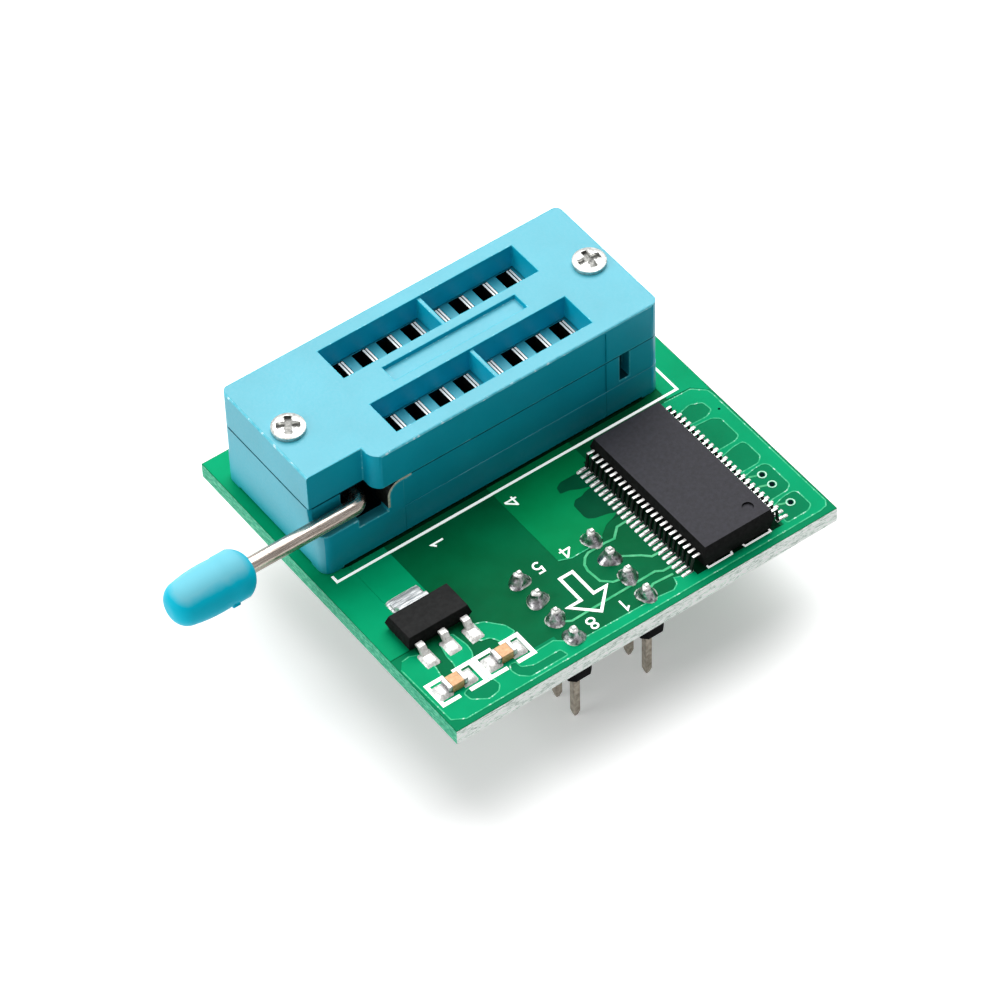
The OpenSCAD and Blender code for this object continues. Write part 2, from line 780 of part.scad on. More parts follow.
module capacitor_ends(from_left) {
    color("silver")
    on_board(from_left, capacitor_from_front)
    for (x = [-capacitor_l / 2, capacitor_l / 2 - capacitor_end]) translate([x, -capacitor_w / 2, 0])
        cube([capacitor_end, capacitor_w, capacitor_h]);
}

circuit_board();
socket_base();
socket_cover();
socket_slider();
cover_screws();
lever_rod();
lever_knob();
lever_spring_strip();
for (i = [1:contacts_per_row]) {
    contact(i - 1, 1);
    contact(i - 1, -1);
}
plug_insulator(-1);  // plug_insulator_left
plug_insulator(1);  // plug_insulator_right
for (n = [1:2 * plug_pins_per_row]) {
    plug_pin(n);
}
plug_solder();
contact_solder();
regulator_body();
regulator_leads();
regulator_tab();
shifter_body();
shifter_leads(-1);  // shifter_leads_left
shifter_leads(1);  // shifter_leads_right
capacitor_body(capacitor_1_from_left);  // capacitor_1_body
capacitor_ends(capacitor_1_from_left);  // capacitor_1_ends
capacitor_body(capacitor_2_from_left);  // capacitor_2_body
capacitor_ends(capacitor_2_from_left);  // capacitor_2_ends
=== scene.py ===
"""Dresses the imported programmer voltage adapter: materials, solder, copper, silkscreen, light and camera."""
import math
import random

import bmesh
import bpy
from mathutils import Matrix, Vector

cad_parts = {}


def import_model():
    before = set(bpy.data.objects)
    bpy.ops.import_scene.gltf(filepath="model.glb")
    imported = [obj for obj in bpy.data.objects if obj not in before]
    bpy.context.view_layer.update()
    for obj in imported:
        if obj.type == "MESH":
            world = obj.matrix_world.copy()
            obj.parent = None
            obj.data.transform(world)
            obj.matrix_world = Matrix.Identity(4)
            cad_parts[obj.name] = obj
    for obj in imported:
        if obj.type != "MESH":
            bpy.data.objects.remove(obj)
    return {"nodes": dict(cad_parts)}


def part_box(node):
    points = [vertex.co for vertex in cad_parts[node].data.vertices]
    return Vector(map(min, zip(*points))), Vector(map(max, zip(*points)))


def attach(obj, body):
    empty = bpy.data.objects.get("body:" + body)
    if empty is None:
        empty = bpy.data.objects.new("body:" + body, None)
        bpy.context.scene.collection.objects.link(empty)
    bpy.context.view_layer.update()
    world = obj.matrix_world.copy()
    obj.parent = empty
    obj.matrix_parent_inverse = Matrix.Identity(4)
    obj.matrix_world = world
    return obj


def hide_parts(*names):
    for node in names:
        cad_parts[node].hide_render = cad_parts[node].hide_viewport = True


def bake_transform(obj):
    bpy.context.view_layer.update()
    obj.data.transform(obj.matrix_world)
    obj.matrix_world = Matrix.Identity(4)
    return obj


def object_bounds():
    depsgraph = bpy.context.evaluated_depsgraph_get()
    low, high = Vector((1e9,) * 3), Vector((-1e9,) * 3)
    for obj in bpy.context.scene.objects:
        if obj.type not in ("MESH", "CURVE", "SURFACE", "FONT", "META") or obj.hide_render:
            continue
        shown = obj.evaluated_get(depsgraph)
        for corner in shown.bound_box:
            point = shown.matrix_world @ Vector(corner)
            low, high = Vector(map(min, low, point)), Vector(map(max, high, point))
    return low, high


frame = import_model()
cad_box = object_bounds()

# Every length below is in millimetres unless its name or comment says otherwise
MM = 0.001
BOARD_LO, BOARD_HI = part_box("circuit_board")
BOARD_W, BOARD_D, BOARD_T = (BOARD_HI - BOARD_LO) / MM
BOARD_TO_FRAME = Matrix.Translation((BOARD_LO.x, BOARD_LO.y, BOARD_HI.z)) @ Matrix.Scale(MM, 4)


def board_point(point):
    """A point of the frame in board millimetres, from the board's front left top corner."""
    return BOARD_TO_FRAME.inverted() @ point


def node_box(node):
    """A CAD node's box in board millimetres."""
    low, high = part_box(node)
    return board_point(low), board_point(high)


def in_box(point, low, high):
    """True for a point inside a box, both in board millimetres."""
    return all(low[axis] < point[axis] < high[axis] for axis in range(3))


# Materials

WHITE = (1, 1, 1, 1)
# Where the colours stand on the noise's scale: dark and light, or dark, light and fleck
TWO_STOPS = (0.3, 0.7)
FLECK_STOPS = (0.3, 0.6, 0.66)
LAMINATE_STOPS = (0.38, 0.48, 0.58)


def linear(colour):
    """Linear red, green, blue and alpha of an sRGB colour in 0 to 255."""
    def channel(value):
        share = value / 255
        return share / 12.92 if share <= 0.04045 else ((share + 0.055) / 1.055) ** 2.4

    return tuple(channel(value) for value in colour) + (1.0,)


def set_inputs(node, **values):
    """Sets inputs of a node by name; an underscore stands for a space."""
    for name, value in values.items():
        node.inputs[name.replace("_", " ")].default_value = value


def add_node(tree, kind, **values):
    """New shader node with values for its inputs."""
    node = tree.nodes.new("ShaderNode" + kind)
    set_inputs(node, **values)
    return node


def add_math(tree, operation, first, second):
    """Result of an operation on two outputs, or on an output and a number."""
    node = add_node(tree, "Math")
    node.operation = operation
    tree.links.new(first, node.inputs[0])
    if isinstance(second, float):
        node.inputs[1].default_value = second
    else:
        tree.links.new(second, node.inputs[1])
    return node.outputs[0]


def object_places(tree, scale):
    """Object coordinates, scaled along the axes."""
    mapping = add_node(tree, "Mapping", Scale=scale)
    tree.links.new(add_node(tree, "TexCoord").outputs["Object"], mapping.inputs["Vector"])
    return mapping.outputs["Vector"]


def noise(tree, vector, size, detail=3.0, rough=0.55):
    """Noise factor with features of about the given size."""
    texture = add_node(tree, "TexNoise", Scale=1 / (size * MM), Detail=detail, Roughness=rough)
    tree.links.new(vector, texture.inputs["Vector"])
    return texture.outputs["Fac"]


def ramp(tree, factor, places, colours):
    """Colour ramp with sRGB colours at places from 0 to 1."""
    node = add_node(tree, "ValToRGB")
    elements = node.color_ramp.elements
    while len(elements) < len(places):
        elements.new(0.5)
    for element, place, colour in zip(elements, places, colours):
        element.position = place
        element.color = linear(colour)
    tree.links.new(factor, node.inputs["Fac"])
    return node.outputs["Color"]


def spread(tree, factor, low, high, from_low=0.3, from_high=0.7):
    """Maps the middle of a noise factor to a range."""
    node = add_node(tree, "MapRange", From_Min=from_low, From_Max=from_high, To_Min=low, To_Max=high)
    tree.links.new(factor, node.inputs["Value"])
    return node.outputs["Result"]


def material(name, dark, light, grain, rough, bump_grain, bump=0.004, stretch=(1, 1, 1), fleck=None,
             **sockets):
    """Principled material: its colour varies at grain size, its roughness and bump at bump_grain size."""
    made = bpy.data.materials.new(name)
    made.use_nodes = True
    tree = made.node_tree
    shader = tree.nodes["Principled BSDF"]
    set_inputs(shader, **sockets)
    vector = object_places(tree, stretch)
    coarse = noise(tree, vector, grain)
    fine = noise(tree, vector, bump_grain)
    if fleck:
        colour = ramp(tree, coarse, FLECK_STOPS, (dark, light, fleck))
    else:
        colour = ramp(tree, coarse, TWO_STOPS, (dark, light))
    tree.links.new(colour, shader.inputs["Base Color"])
    tree.links.new(spread(tree, fine, *rough), shader.inputs["Roughness"])
    relief = add_node(tree, "Bump", Distance=bump * MM)
    tree.links.new(fine, relief.inputs["Height"])
    tree.links.new(relief.outputs["Normal"], shader.inputs["Normal"])
    return made


def laminate_material(name, deep, mid, pale, glow=0.0):
    """Sawn edge of the glass-fibre board: layers of strands in three shades, with a little glow as painted
    light.
    """
    made = material(name, mid, pale, grain=0.35, rough=(0.55, 0.9), bump=0.08, bump_grain=0.15,
                    stretch=(0.45, 0.45, 3), Emission_Color=linear(mid), Emission_Strength=glow)
    tree = made.node_tree
    strands = object_places(tree, (1, 1, 3.5))
    fibre = noise(tree, strands, size=0.7, detail=6.0, rough=0.75)
    colour = ramp(tree, fibre, LAMINATE_STOPS, (deep, mid, pale))
    tree.links.new(colour, tree.nodes["Principled BSDF"].inputs["Base Color"])
    return made


def painted_sheen_on_top(made, deep, pale, start, end, wave_size=2.0, wave=0.06):
    """Gives a material a painted sheen: its colour pales, with a little waviness, on the sides that look up.
    """
    tree = made.node_tree
    place = add_node(tree, "TexCoord")
    parts = add_node(tree, "SeparateXYZ")
    tree.links.new(place.outputs["Normal"], parts.inputs["Vector"])
    waves = spread(tree, noise(tree, place.outputs["Object"], wave_size), -wave, wave)
    slope = add_math(tree, "ADD", parts.outputs["Z"], waves)
    colour = ramp(tree, slope, (start, end), (deep, pale))
    tree.links.new(colour, tree.nodes["Principled BSDF"].inputs["Base Color"])


# Surfaces that several materials share
DULL = {"Specular_IOR_Level": 0.02}
MOULDED = {"rough": (0.42, 0.52), "bump": 0.006, "bump_grain": 0.25}
WEAR_AND_HIGHLIGHT = {"rough": (0.4, 0.55), "bump": 0.008, "bump_grain": 0.2}
GROOVE = {"grain": 1.5, "rough": (0.5, 0.6), "bump": 0.006, "bump_grain": 0.2, **DULL}
LACQUER = {"rough": (0.3, 0.45), "bump_grain": 0.35, **DULL}
LACQUER_ON_LINES = {**LACQUER, "bump_grain": 0.2}
LACQUER_IN_SHADE = {**LACQUER, "rough": (0.4, 0.55)}
CAST = {"grain": 0.4, "rough": (0.5, 0.65), "bump": 0.01, "bump_grain": 0.06}

# Plastic of the socket and the knob
PLASTIC = material("socket_plastic", (0, 150, 174), (2, 159, 184), grain=6,
                   Specular_IOR_Level=0.15, **MOULDED)
# Paler, glossier copy for the faces that look up or right and for the left end; its paler colour is painted
# sheen
PLASTIC_PAINTED_SHEEN = material("socket_plastic_painted_sheen", (22, 160, 180), (34, 169, 190), grain=6,
                         Specular_IOR_Level=0.9, **MOULDED)
# Lighter copy for the slots' walls, painted light
PLASTIC_SLOT_PAINTED_LIGHT = material("socket_plastic_slot_painted_light", (0, 172, 200), (2, 182, 210), grain=4,
                         Specular_IOR_Level=0.15, **MOULDED)
# Paler, flecked copy for the broken edges: partly wear, partly painted highlight
PLASTIC_EDGE = material("socket_plastic_edge_wear_and_highlight", (22, 168, 190), (48, 184, 204), grain=0.5,
                        fleck=(130, 214, 228), **WEAR_AND_HIGHLIGHT)
# Much paler, flecked copy for the cover's top rim: painted highlight, with flecks of wear
PLASTIC_RIM = material("socket_plastic_rim_highlight_and_wear", (64, 184, 204), (104, 204, 222), grain=0.6,
                       fleck=(204, 238, 246), **WEAR_AND_HIGHLIGHT)
# Near-black for the socket's hollows and the vias' holes, painted shade
PLASTIC_PAINTED_SHADE = material("socket_plastic_painted_shade", (0, 12, 16), (0, 22, 28), grain=1.0,
                        rough=(0.6, 0.8), bump=0.006, bump_grain=0.25, **DULL)
SEAM = material("socket_mould_seam", (0, 126, 148), (0, 140, 162), **GROOVE)
# Dark colour of the joint between base and cover, also used as painted shade in the side window
PARTING_AND_PAINTED_SHADE = material("socket_parting_line_and_painted_shade", (0, 66, 80), (0, 92, 108), **GROOVE)
# The knob's colour pales on its upper sides as painted sheen
KNOB_DEEP, KNOB_PAINTED_SHEEN = (0, 188, 216), (112, 196, 214)
KNOB_PLASTIC = material("knob_plastic", KNOB_DEEP, KNOB_PAINTED_SHEEN, grain=5,
                        rough=(0.34, 0.44), bump=0.008, bump_grain=0.6, Specular_IOR_Level=0.08)
painted_sheen_on_top(KNOB_PLASTIC, KNOB_DEEP, KNOB_PAINTED_SHEEN, start=0.58, end=0.86)

# Board: green mask on laminate and copper, sawn edges and white ink
MASK = material("solder_mask", (0, 94, 54), (0, 108, 66), grain=5, **LACQUER)
# Lighter copy of the bare mask along the front and sides, painted light
MASK_LIT = material("solder_mask_painted_light_at_rim", (0, 124, 80), (0, 136, 90), grain=5, **LACQUER)
MASK_DARK = material("solder_mask_by_chip", (0, 72, 46), (0, 84, 54), grain=3, **LACQUER)
MASK_ON_COPPER = material("solder_mask_on_pour", (0, 152, 100), (0, 166, 112), grain=5, **LACQUER)
# Darker copy of the mask on copper for the centre by the socket, painted shade
MASK_ON_CENTRE = material("solder_mask_on_centre_painted_shade", (0, 128, 72), (0, 142, 84), grain=5, **LACQUER)
# Darker mask under the chip and the socket, painted shade
MASK_SHADE = material("solder_mask_painted_shade_under_parts", (0, 40, 22), (0, 54, 32), grain=2, **LACQUER_IN_SHADE)
# Pale, flecked lines along the copper's edges: painted highlight
MASK_LINE = material("solder_mask_edge_highlight", (30, 176, 118), (90, 206, 156), grain=0.4,
                     fleck=(214, 246, 234), **LACQUER_ON_LINES)
TRACK = material("solder_mask_on_tracks", (44, 170, 112), (104, 204, 150), grain=1.2, **LACQUER_ON_LINES)
VIA_RING = material("via_ring", (120, 210, 172), (214, 244, 228), grain=0.3,
                    rough=(0.3, 0.45), bump_grain=0.1)
# The front edge glows a little: painted light
LAMINATE = laminate_material("board_edge", (142, 162, 152), (212, 221, 216), (243, 247, 244), glow=0.27)
LAMINATE_SIDE = laminate_material("board_side", (20, 150, 108), (46, 172, 132), (100, 204, 164))
# Darker copy without glow for the back and right edges, painted shade
LAMINATE_BACK = laminate_material("board_back_painted_shade", (108, 134, 120), (160, 178, 168), (190, 202, 195))
# The ink glows a little as painted light, so it stays white in shade
SILK = material("silkscreen_ink", (234, 246, 240), (250, 254, 252), grain=0.4,
                rough=(0.5, 0.7), bump_grain=0.12, Emission_Color=WHITE, Emission_Strength=0.5)

# Metals
SOLDER = material("solder", (96, 94, 98), (212, 210, 213), grain=0.4,
                  rough=(0.22, 0.42), bump_grain=0.35, bump=0.05, Metallic=1.0)
# The tines glow a little as painted highlight
TINE = material("contact_tine_painted_glint", (236, 236, 234), (252, 252, 250), grain=0.3,
                rough=(0.3, 0.45), bump_grain=0.08, bump=0.003, Emission_Color=WHITE, Emission_Strength=0.25)
METAL_SHADE = material("metal_in_shade", (22, 26, 24), (52, 58, 54), grain=0.3,
                       rough=(0.35, 0.5), bump_grain=0.08, Metallic=0.8)
LEAD_TIN = material("lead_tin", (196, 194, 190), (250, 249, 247), grain=0.3,
                    rough=(0.25, 0.4), bump_grain=0.15, bump=0.02, Metallic=0.3)
PAD_TIN = material("tab_tin", (132, 136, 140), (248, 248, 248), grain=0.5,
                   rough=(0.25, 0.4), bump_grain=0.25, bump=0.03, Metallic=0.4, stretch=(0.4, 2.2, 1))
PIN_METAL = material("plug_pin_metal", (134, 124, 112), (190, 180, 166), grain=0.4,
                     rough=(0.28, 0.42), bump_grain=0.1, Metallic=1.0)
STEEL = material("lever_steel", (160, 146, 136), (216, 204, 194), grain=0.25,
                 rough=(0.18, 0.34), bump_grain=0.06, Metallic=1.0, stretch=(0.08, 1, 1))
SCREW_METAL = material("screw_plating", (190, 190, 186), (234, 234, 230), grain=0.3,
                       rough=(0.25, 0.42), bump_grain=0.2, bump=0.01, Metallic=0.8)
# Darker metal for the screws' cross recesses, painted shade
SCREW_RECESS = material("screw_recess_painted_shade", (84, 84, 82), (144, 144, 140), grain=0.25,
                        rough=(0.3, 0.5), bump_grain=0.15, bump=0.02, Metallic=0.6)
SPRING_STEEL = material("spring_steel", (196, 190, 176), (236, 232, 222), grain=0.3,
                        rough=(0.25, 0.4), bump_grain=0.1, Metallic=0.3)

# Bodies of the small parts
EPOXY = material("chip_epoxy", (27, 26, 33), (37, 36, 45), Specular_IOR_Level=0.25, **CAST)
# Lighter, glossier copy for the regulator's top, painted light
REGULATOR_TOP = material("regulator_top", (28, 28, 28), (38, 38, 38), Specular_IOR_Level=0.08, **CAST)
# Darker epoxy for the regulator's sides and the chip's sides and dimple wall, painted shade
DARK_EPOXY = material("epoxy_in_painted_shade", (22, 22, 22), (32, 32, 32), **DULL, **CAST)
BLACK_PLASTIC = material("pin_strip_plastic", (10, 10, 11), (20, 20, 22), grain=0.8,
                         rough=(0.4, 0.6), bump=0.01, bump_grain=0.15, **DULL)
CERAMIC = material("capacitor_ceramic", (206, 150, 98), (232, 184, 134), grain=0.3,
                   rough=(0.4, 0.6), bump=0.006, bump_grain=0.1)


# Mesh tools

# Faces made by breaking an edge take the second finish of a piece that has several
EDGE_SLOT = 1
BEVEL_STEPS = 2
BEVEL_PROFILE = 0.6
# Only edges sharper than this angle in degrees, between faces wider than this many bevels, are broken
BEVEL_ANGLE = 35
BEVEL_ROOM = 1.2
ROUND_STEPS = 5
# Welding distance, and the angle in degrees up to which faces count as one plane
WELD = 0.001
PLANE_ANGLE = 0.3
MITRE_LIMIT = 0.35


def linked(name, data):
    """New object in the scene."""
    made = bpy.data.objects.new(name, data)
    bpy.context.scene.collection.objects.link(made)
    return made


def object_of(name, mesh, finish, body="board", replaces=()):
    """Links a mesh in the frame's metres as a piece of the object."""
    piece = linked(name, mesh)
    for made in finish if isinstance(finish, list) else [finish]:
        mesh.materials.append(made)
    if body:
        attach(piece, body)
    if replaces:
        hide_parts(*replaces)
    return piece


def smooth(mesh, angle):
    """Smooth shading, with sharp edges where faces meet at more than the angle in degrees."""
    mesh.shade_smooth()
    mesh.set_sharp_from_angle(angle=math.radians(angle))


def mesh_of(bm, name, matrix=BOARD_TO_FRAME):
    """Turns a bmesh in millimetres into a mesh in the frame's metres."""
    bm.transform(matrix)
    bmesh.ops.recalc_face_normals(bm, faces=bm.faces)
    mesh = bpy.data.meshes.new(name)
    bm.to_mesh(mesh)
    bm.free()
    return mesh


def piece_of(bm, name, finish, angle=None, body="board", replaces=()):
    """Links a bmesh in board millimetres as a piece, smoothed up to an angle if one is given."""
    mesh = mesh_of(bm, name)
    if angle:
        smooth(mesh, angle)
    return object_of(name, mesh, finish, body, replaces)


def round_edges(bm, low, high, radius):
    """Rounds the edges of a bmesh in frame millimetres that lie in a box in board millimetres."""
    def within(vert):
        return in_box(board_point(vert.co * MM), low, high)

    edges = [edge for edge in bm.edges if all(within(vert) for vert in edge.verts)]
    bmesh.ops.bevel(bm, geom=edges, offset=radius, offset_type="OFFSET", segments=ROUND_STEPS, profile=0.5,
                    affect="EDGES")


def can_bevel(edge, offset):
    """True for a sharp edge between two faces that are both wider than the bevel."""
    if len(edge.link_faces) != 2 or edge.calc_face_angle() < math.radians(BEVEL_ANGLE):
        return False
    widths = [face.calc_area() / max(side.calc_length() for side in face.edges) for face in edge.link_faces]
    return min(widths) > BEVEL_ROOM * offset


def dressed_copy(node, finish, bevel=0.0, body="board", sharp=40, clamp=True, rounds=()):
    """Piece with a CAD node's shape, its edges broken by a small round."""
    bm = bmesh.new()
    bm.from_mesh(frame["nodes"][node].data)
    bm.transform(Matrix.Scale(1 / MM, 4))
    bmesh.ops.remove_doubles(bm, verts=bm.verts, dist=WELD)
    bmesh.ops.dissolve_limit(bm, angle_limit=math.radians(PLANE_ANGLE), verts=bm.verts, edges=bm.edges)
    for low, high, radius in rounds:
        round_edges(bm, low, high, radius)
    if bevel:
        edges = [edge for edge in bm.edges if can_bevel(edge, bevel)]
        slot = EDGE_SLOT if isinstance(finish, list) else -1
        bmesh.ops.bevel(bm, geom=edges, offset=bevel, offset_type="OFFSET", segments=BEVEL_STEPS,
                        profile=BEVEL_PROFILE, affect="EDGES", clamp_overlap=clamp, material=slot)
    mesh = mesh_of(bm, node + "_dressed", Matrix.Scale(MM, 4))
    smooth(mesh, sharp)
    piece = object_of(node + "_dressed", mesh, finish, body, [node])
    weighted = piece.modifiers.new("face_normals", "WEIGHTED_NORMAL")
    weighted.keep_sharp = True
    return piece


def split_faces(piece, axis, *places):
    """Cuts a piece's faces along planes across an axis."""
    bm = bmesh.new()
    bm.from_mesh(piece.data)
    across = Vector([float(axis == n) for n in range(3)])
    for place in places:
        everything = bm.verts[:] + bm.edges[:] + bm.faces[:]
        point = BOARD_TO_FRAME @ (across * place)
        bmesh.ops.bisect_plane(bm, geom=everything, plane_co=point, plane_no=across)
    bm.to_mesh(piece.data)
    bm.free()


def close_step(piece, low, high, step):
    """Welds a small step's back edge onto its front edge, inside a box in board millimetres."""
    bm = bmesh.new()
    bm.from_mesh(piece.data)
    verts = [vert for vert in bm.verts if in_box(board_point(vert.co), low, high)]
    slack = 0.1 * step
    onto = {}
    for front in sorted(verts, key=lambda vert: vert.co.y):
        for back in verts:
            gap = (back.co - front.co) / MM
            level = max(abs(gap.x), abs(gap.z)) < slack
            if level and slack < gap.y < step and front not in onto:
                onto[back] = front
    bmesh.ops.weld_verts(bm, targetmap=onto)
    bm.to_mesh(piece.data)
    bm.free()


def paint(piece, finish, test):
    """Gives one of a piece's finishes to the faces whose normal and centre pass a test."""
    slot = piece.data.materials.find(finish.name)
    for face in piece.data.polygons:
        if test(face.normal, board_point(face.center)):
            face.material_index = slot


def inside(low, high):
    """Test for faces whose centre lies in a box."""
    return lambda normal, centre: in_box(centre, low, high)


def rounded(points, radius, steps=4):
    """Closed outline with its corners rounded."""
    made = []
    count = len(points)
    for i, corner in enumerate(points):
        here = Vector(corner)
        before, after = Vector(points[i - 1]) - here, Vector(points[(i + 1) % count]) - here
        reach = min(radius, before.length / 2, after.length / 2)
        start, end = here + before.normalized() * reach, here + after.normalized() * reach
        for step in range(steps + 1):
            t = step / steps
            made.append(start * (1 - t) ** 2 + here * 2 * t * (1 - t) + end * t * t)
    return made


def arc(x, y, radius, start, end, steps):
    """Points of an arc, angles in degrees."""
    angles = [math.radians(start + (end - start) * i / steps) for i in range(steps + 1)]
    return [(x + radius * math.cos(a), y + radius * math.sin(a)) for a in angles]


def circle(x, y, radius, steps=24):
    """Closed outline of a circle."""
    return arc(x, y, radius, 0, 360 - 360 / steps, steps - 1)


def oval(x, y, across, along, steps=18):
    """Closed outline of an oval."""
    return [(x + across * px, y + along * py) for px, py in circle(0, 0, 1, steps)]


def side_of(points, offset, closed):
    """Points moved sideways from a line, with mitred corners."""
    made = []
    count = len(points)
    for i, point in enumerate(points):
        here = Vector(point)
        normals = []
        if closed or i > 0:
            along = (here - Vector(points[i - 1])).normalized()
            normals.append(Vector((-along.y, along.x)))
        if closed or i < count - 1:
            along = (Vector(points[(i + 1) % count]) - here).normalized()
            normals.append(Vector((-along.y, along.x)))
        push = sum(normals, Vector((0, 0)))
        if len(normals) == 2:
            push /= max(MITRE_LIMIT, 1 + normals[0].dot(normals[1]))
        made.append(here + push * offset)
    return made


def ribbon(points, width, closed=False):
    """Outlines of a line drawn with the given width."""
    left = side_of(points, width / 2, closed)
    right = side_of(points, -width / 2, closed)
    if closed:
        return [left, right]
    return [left + right[::-1]]


def flat_mesh(outlines, height, edge):
    """Thin plate from closed outlines, inner ones as holes, with its underside at zero."""
    curve = bpy.data.curves.new("outline", "CURVE")
    curve.dimensions = "2D"
    curve.fill_mode = "BOTH"
    curve.extrude = height / 2 - edge
    curve.bevel_depth = edge
    curve.bevel_resolution = 1
    for outline in outlines:
        spline = curve.splines.new("POLY")
        spline.points.add(len(outline) - 1)
        for target, point in zip(spline.points, outline):
            target.co = (point[0], point[1], 0, 1)
        spline.use_cyclic_u = True
    holder = linked("outline", curve)
    shown = holder.evaluated_get(bpy.context.evaluated_depsgraph_get())
    mesh = bpy.data.meshes.new_from_object(shown)
    bpy.data.objects.remove(holder)
    bpy.data.curves.remove(curve)
    mesh.transform(Matrix.Translation((0, 0, height / 2)))
    return mesh


def flat_piece(name, shapes, height, finish, edge=0.0):
    """Piece on the board made of flat shapes; each shape is a list of outlines."""
    bm = bmesh.new()
    for outlines in shapes:
        mesh = flat_mesh(outlines, height, edge)
        bm.from_mesh(mesh)
        bpy.data.meshes.remove(mesh)
    piece_of(bm, name, finish, angle=30)


def prism(bm, outline, y0, y1):
    """Adds an X-Z outline drawn out along Y."""
    near = [bm.verts.new((x, y0, z)) for x, z in outline]
    far = [bm.verts.new((x, y1, z)) for x, z in outline]
    count = len(outline)
    bm.faces.new(near)
    bm.faces.new(far[::-1])
    for i in range(count):
        after = (i + 1) % count
        bm.faces.new((near[i], far[i], far[after], near[after]))


# Board with its copper and ink

def board():
    """Laminate with green faces and sawn edges, greener along the left side; the back and right edges take a
    darker copy without glow, as painted shade.
    """
    def wall(normal, centre):
        return abs(normal.z) <= 0.9

    def sawn(normal, centre):
        to_side = min(abs(centre.x), abs(centre.x - BOARD_W), abs(centre.y), abs(centre.y - BOARD_D))
        return wall(normal, centre) and to_side < 0.01

    def left(normal, centre):
        return normal.x < -0.9 and sawn(normal, centre)

    def behind(normal, centre):
        return max(normal.x, normal.y) > 0.5 and sawn(normal, centre)

    piece = dressed_copy("circuit_board", [MASK, LAMINATE, SOLDER, LAMINATE_SIDE, LAMINATE_BACK], sharp=20)
    paint(piece, SOLDER, wall)
    paint(piece, LAMINATE, sawn)
    paint(piece, LAMINATE_SIDE, left)
    paint(piece, LAMINATE_BACK, behind)


COPPER_H = 0.035
COPPER_EDGE = 0.012
COPPER_LINE = 0.11
TRACK_W = 0.21
# Corner radii of the bare places, lines and areas
TAB_ROUND, LINE_ROUND, AREA_ROUND = 0.24, 0.2, 0.15
# How far the pieces of a layer stand above the copper, so that none share a face
RIM_LIFT, STUB_LIFT, RING_LIFT, HOLE_LIFT, SHADE_LIFT = 0.008, 0.004, 0.03, 0.01, 0.015
# Bare places in the copper on the right, beside the capacitors, and the copper's own outlines
BARE_TABS = [
    [(35.6, 16.6), (37.3, 17.0), (38.4, 16.5), (38.5, 15.4), (37.7, 15.0), (35.6, 15.1)],
    [(35.6, 14.8), (37.9, 14.6), (38.5, 14.1), (38.5, 11.6), (37.9, 11.3), (35.6, 11.3)],
    [(35.6, 10.5), (37.3, 10.85), (38.3, 10.85), (38.5, 10.4), (38.5, 8.6), (37.9, 8.1), (35.6, 8.1)],
    [(35.6, 7.5), (37.2, 7.8), (38.1, 7.8), (38.5, 7.4), (38.5, 4.6), (37.9, 4.15), (35.6, 4.1)],
    [(35.6, 3.4), (37.2, 3.8), (38.2, 3.8), (38.5, 3.5), (38.5, 1.7), (37.9, 1.3), (35.6, 1.3)],
]
BARE_BY_CAPACITORS = [
    [(3.4, 3.1), (2.86, 2.88), (2.97, 2.06), (4.22, 1.2), (5.34, 1.38), (5.85, 1.93), (5.71, 2.7)],
    [(8.3, 3.02), (7.7, 3.1), (7.4, 2.5), (7.6, 1.7), (8.36, 1.0), (12.2, 1.0), (12.0, 1.83), (9.3, 1.85),
     (8.3, 2.33)],
]
POUR_EDGE = [(0.2, 8.03), (0.39, 1.31), (1.5, 0.65), (38.64, 0.65), (39.4, 0.8), (39.75, 1.3), (39.7, 16.8),
             (39.6, 17.4), (38.5, 18.4), (35.74, 18.5)]
POUR_BY_CHIP = [(35.3, 18.5), (35.3, 1.3)]
POUR_INNER = [(25.0, 2.0), (24.26, 2.28), (24.05, 1.6), (23.45, 1.24), (21.7, 1.46), (13.6, 1.66),
              (12.9, 2.3), (12.1, 2.96), (10.2, 2.92)]
POUR_TOP = [(2.62, 5.07), (2.48, 5.58), (2.66, 6.53), (2.42, 8.46), (1.57, 8.84), (0.8, 8.76)]
CENTRE = [(17.7, 21.5), (17.66, 9.71), (18.8, 9.25), (21.85, 9.23), (22.2, 9.6), (23.3, 10.44),
          (24.25, 10.71), (24.9, 11.0), (24.18, 11.32), (23.0, 11.59), (22.5, 11.91), (22.36, 12.29),
          (22.41, 13.83), (22.91, 14.29), (23.66, 14.29), (24.07, 14.5), (25.0, 14.65), (23.97, 14.98),
          (23.23, 15.41), (22.3, 15.57), (22.45, 16.3), (23.1, 16.66), (26.4, 16.6), (26.4, 21.5)]
LEAD_2 = [(4.4, 8.3), (5.87, 8.68), (6.15, 6.96), (6.04, 6.1), (5.72, 5.53), (3.9, 5.3), (4.09, 6.1),
          (4.07, 6.93)]
LEAD_3 = [(7.2, 7.94), (8.03, 8.4), (8.75, 8.1), (9.91, 6.74), (10.19, 5.71), (8.6, 5.3), (8.45, 5.88),
          (8.12, 6.41), (7.27, 6.65)]
TAB = [(3.31, 12.0), (6.9, 12.0), (6.9, 21.5), (3.31, 21.5)]
ROUND_SOCKET = [(0.06, 9.4), (2.2, 9.4), (3.27, 11.0), (3.27, 21.5), (1.5, 21.5), (1.5, 34.6), (36.2, 34.6),
                (36.2, 18.7), (38.6, 18.55), (39.8, 17.4), (39.94, 18.5), (39.94, 37.04), (0.06, 37.04)]
BY_CHIP = [(22.0, 10.6), (26.0, 10.6), (26.0, 17.0), (22.0, 17.0)]
RIM = [(0.05, 0.05), (39.95, 0.05), (39.95, 18.5), (35.2, 18.5), (35.2, 1.2), (12.4, 1.2), (12.4, 3.3),
       (2.4, 3.3), (2.4, 9.3), (0.05, 9.3)]
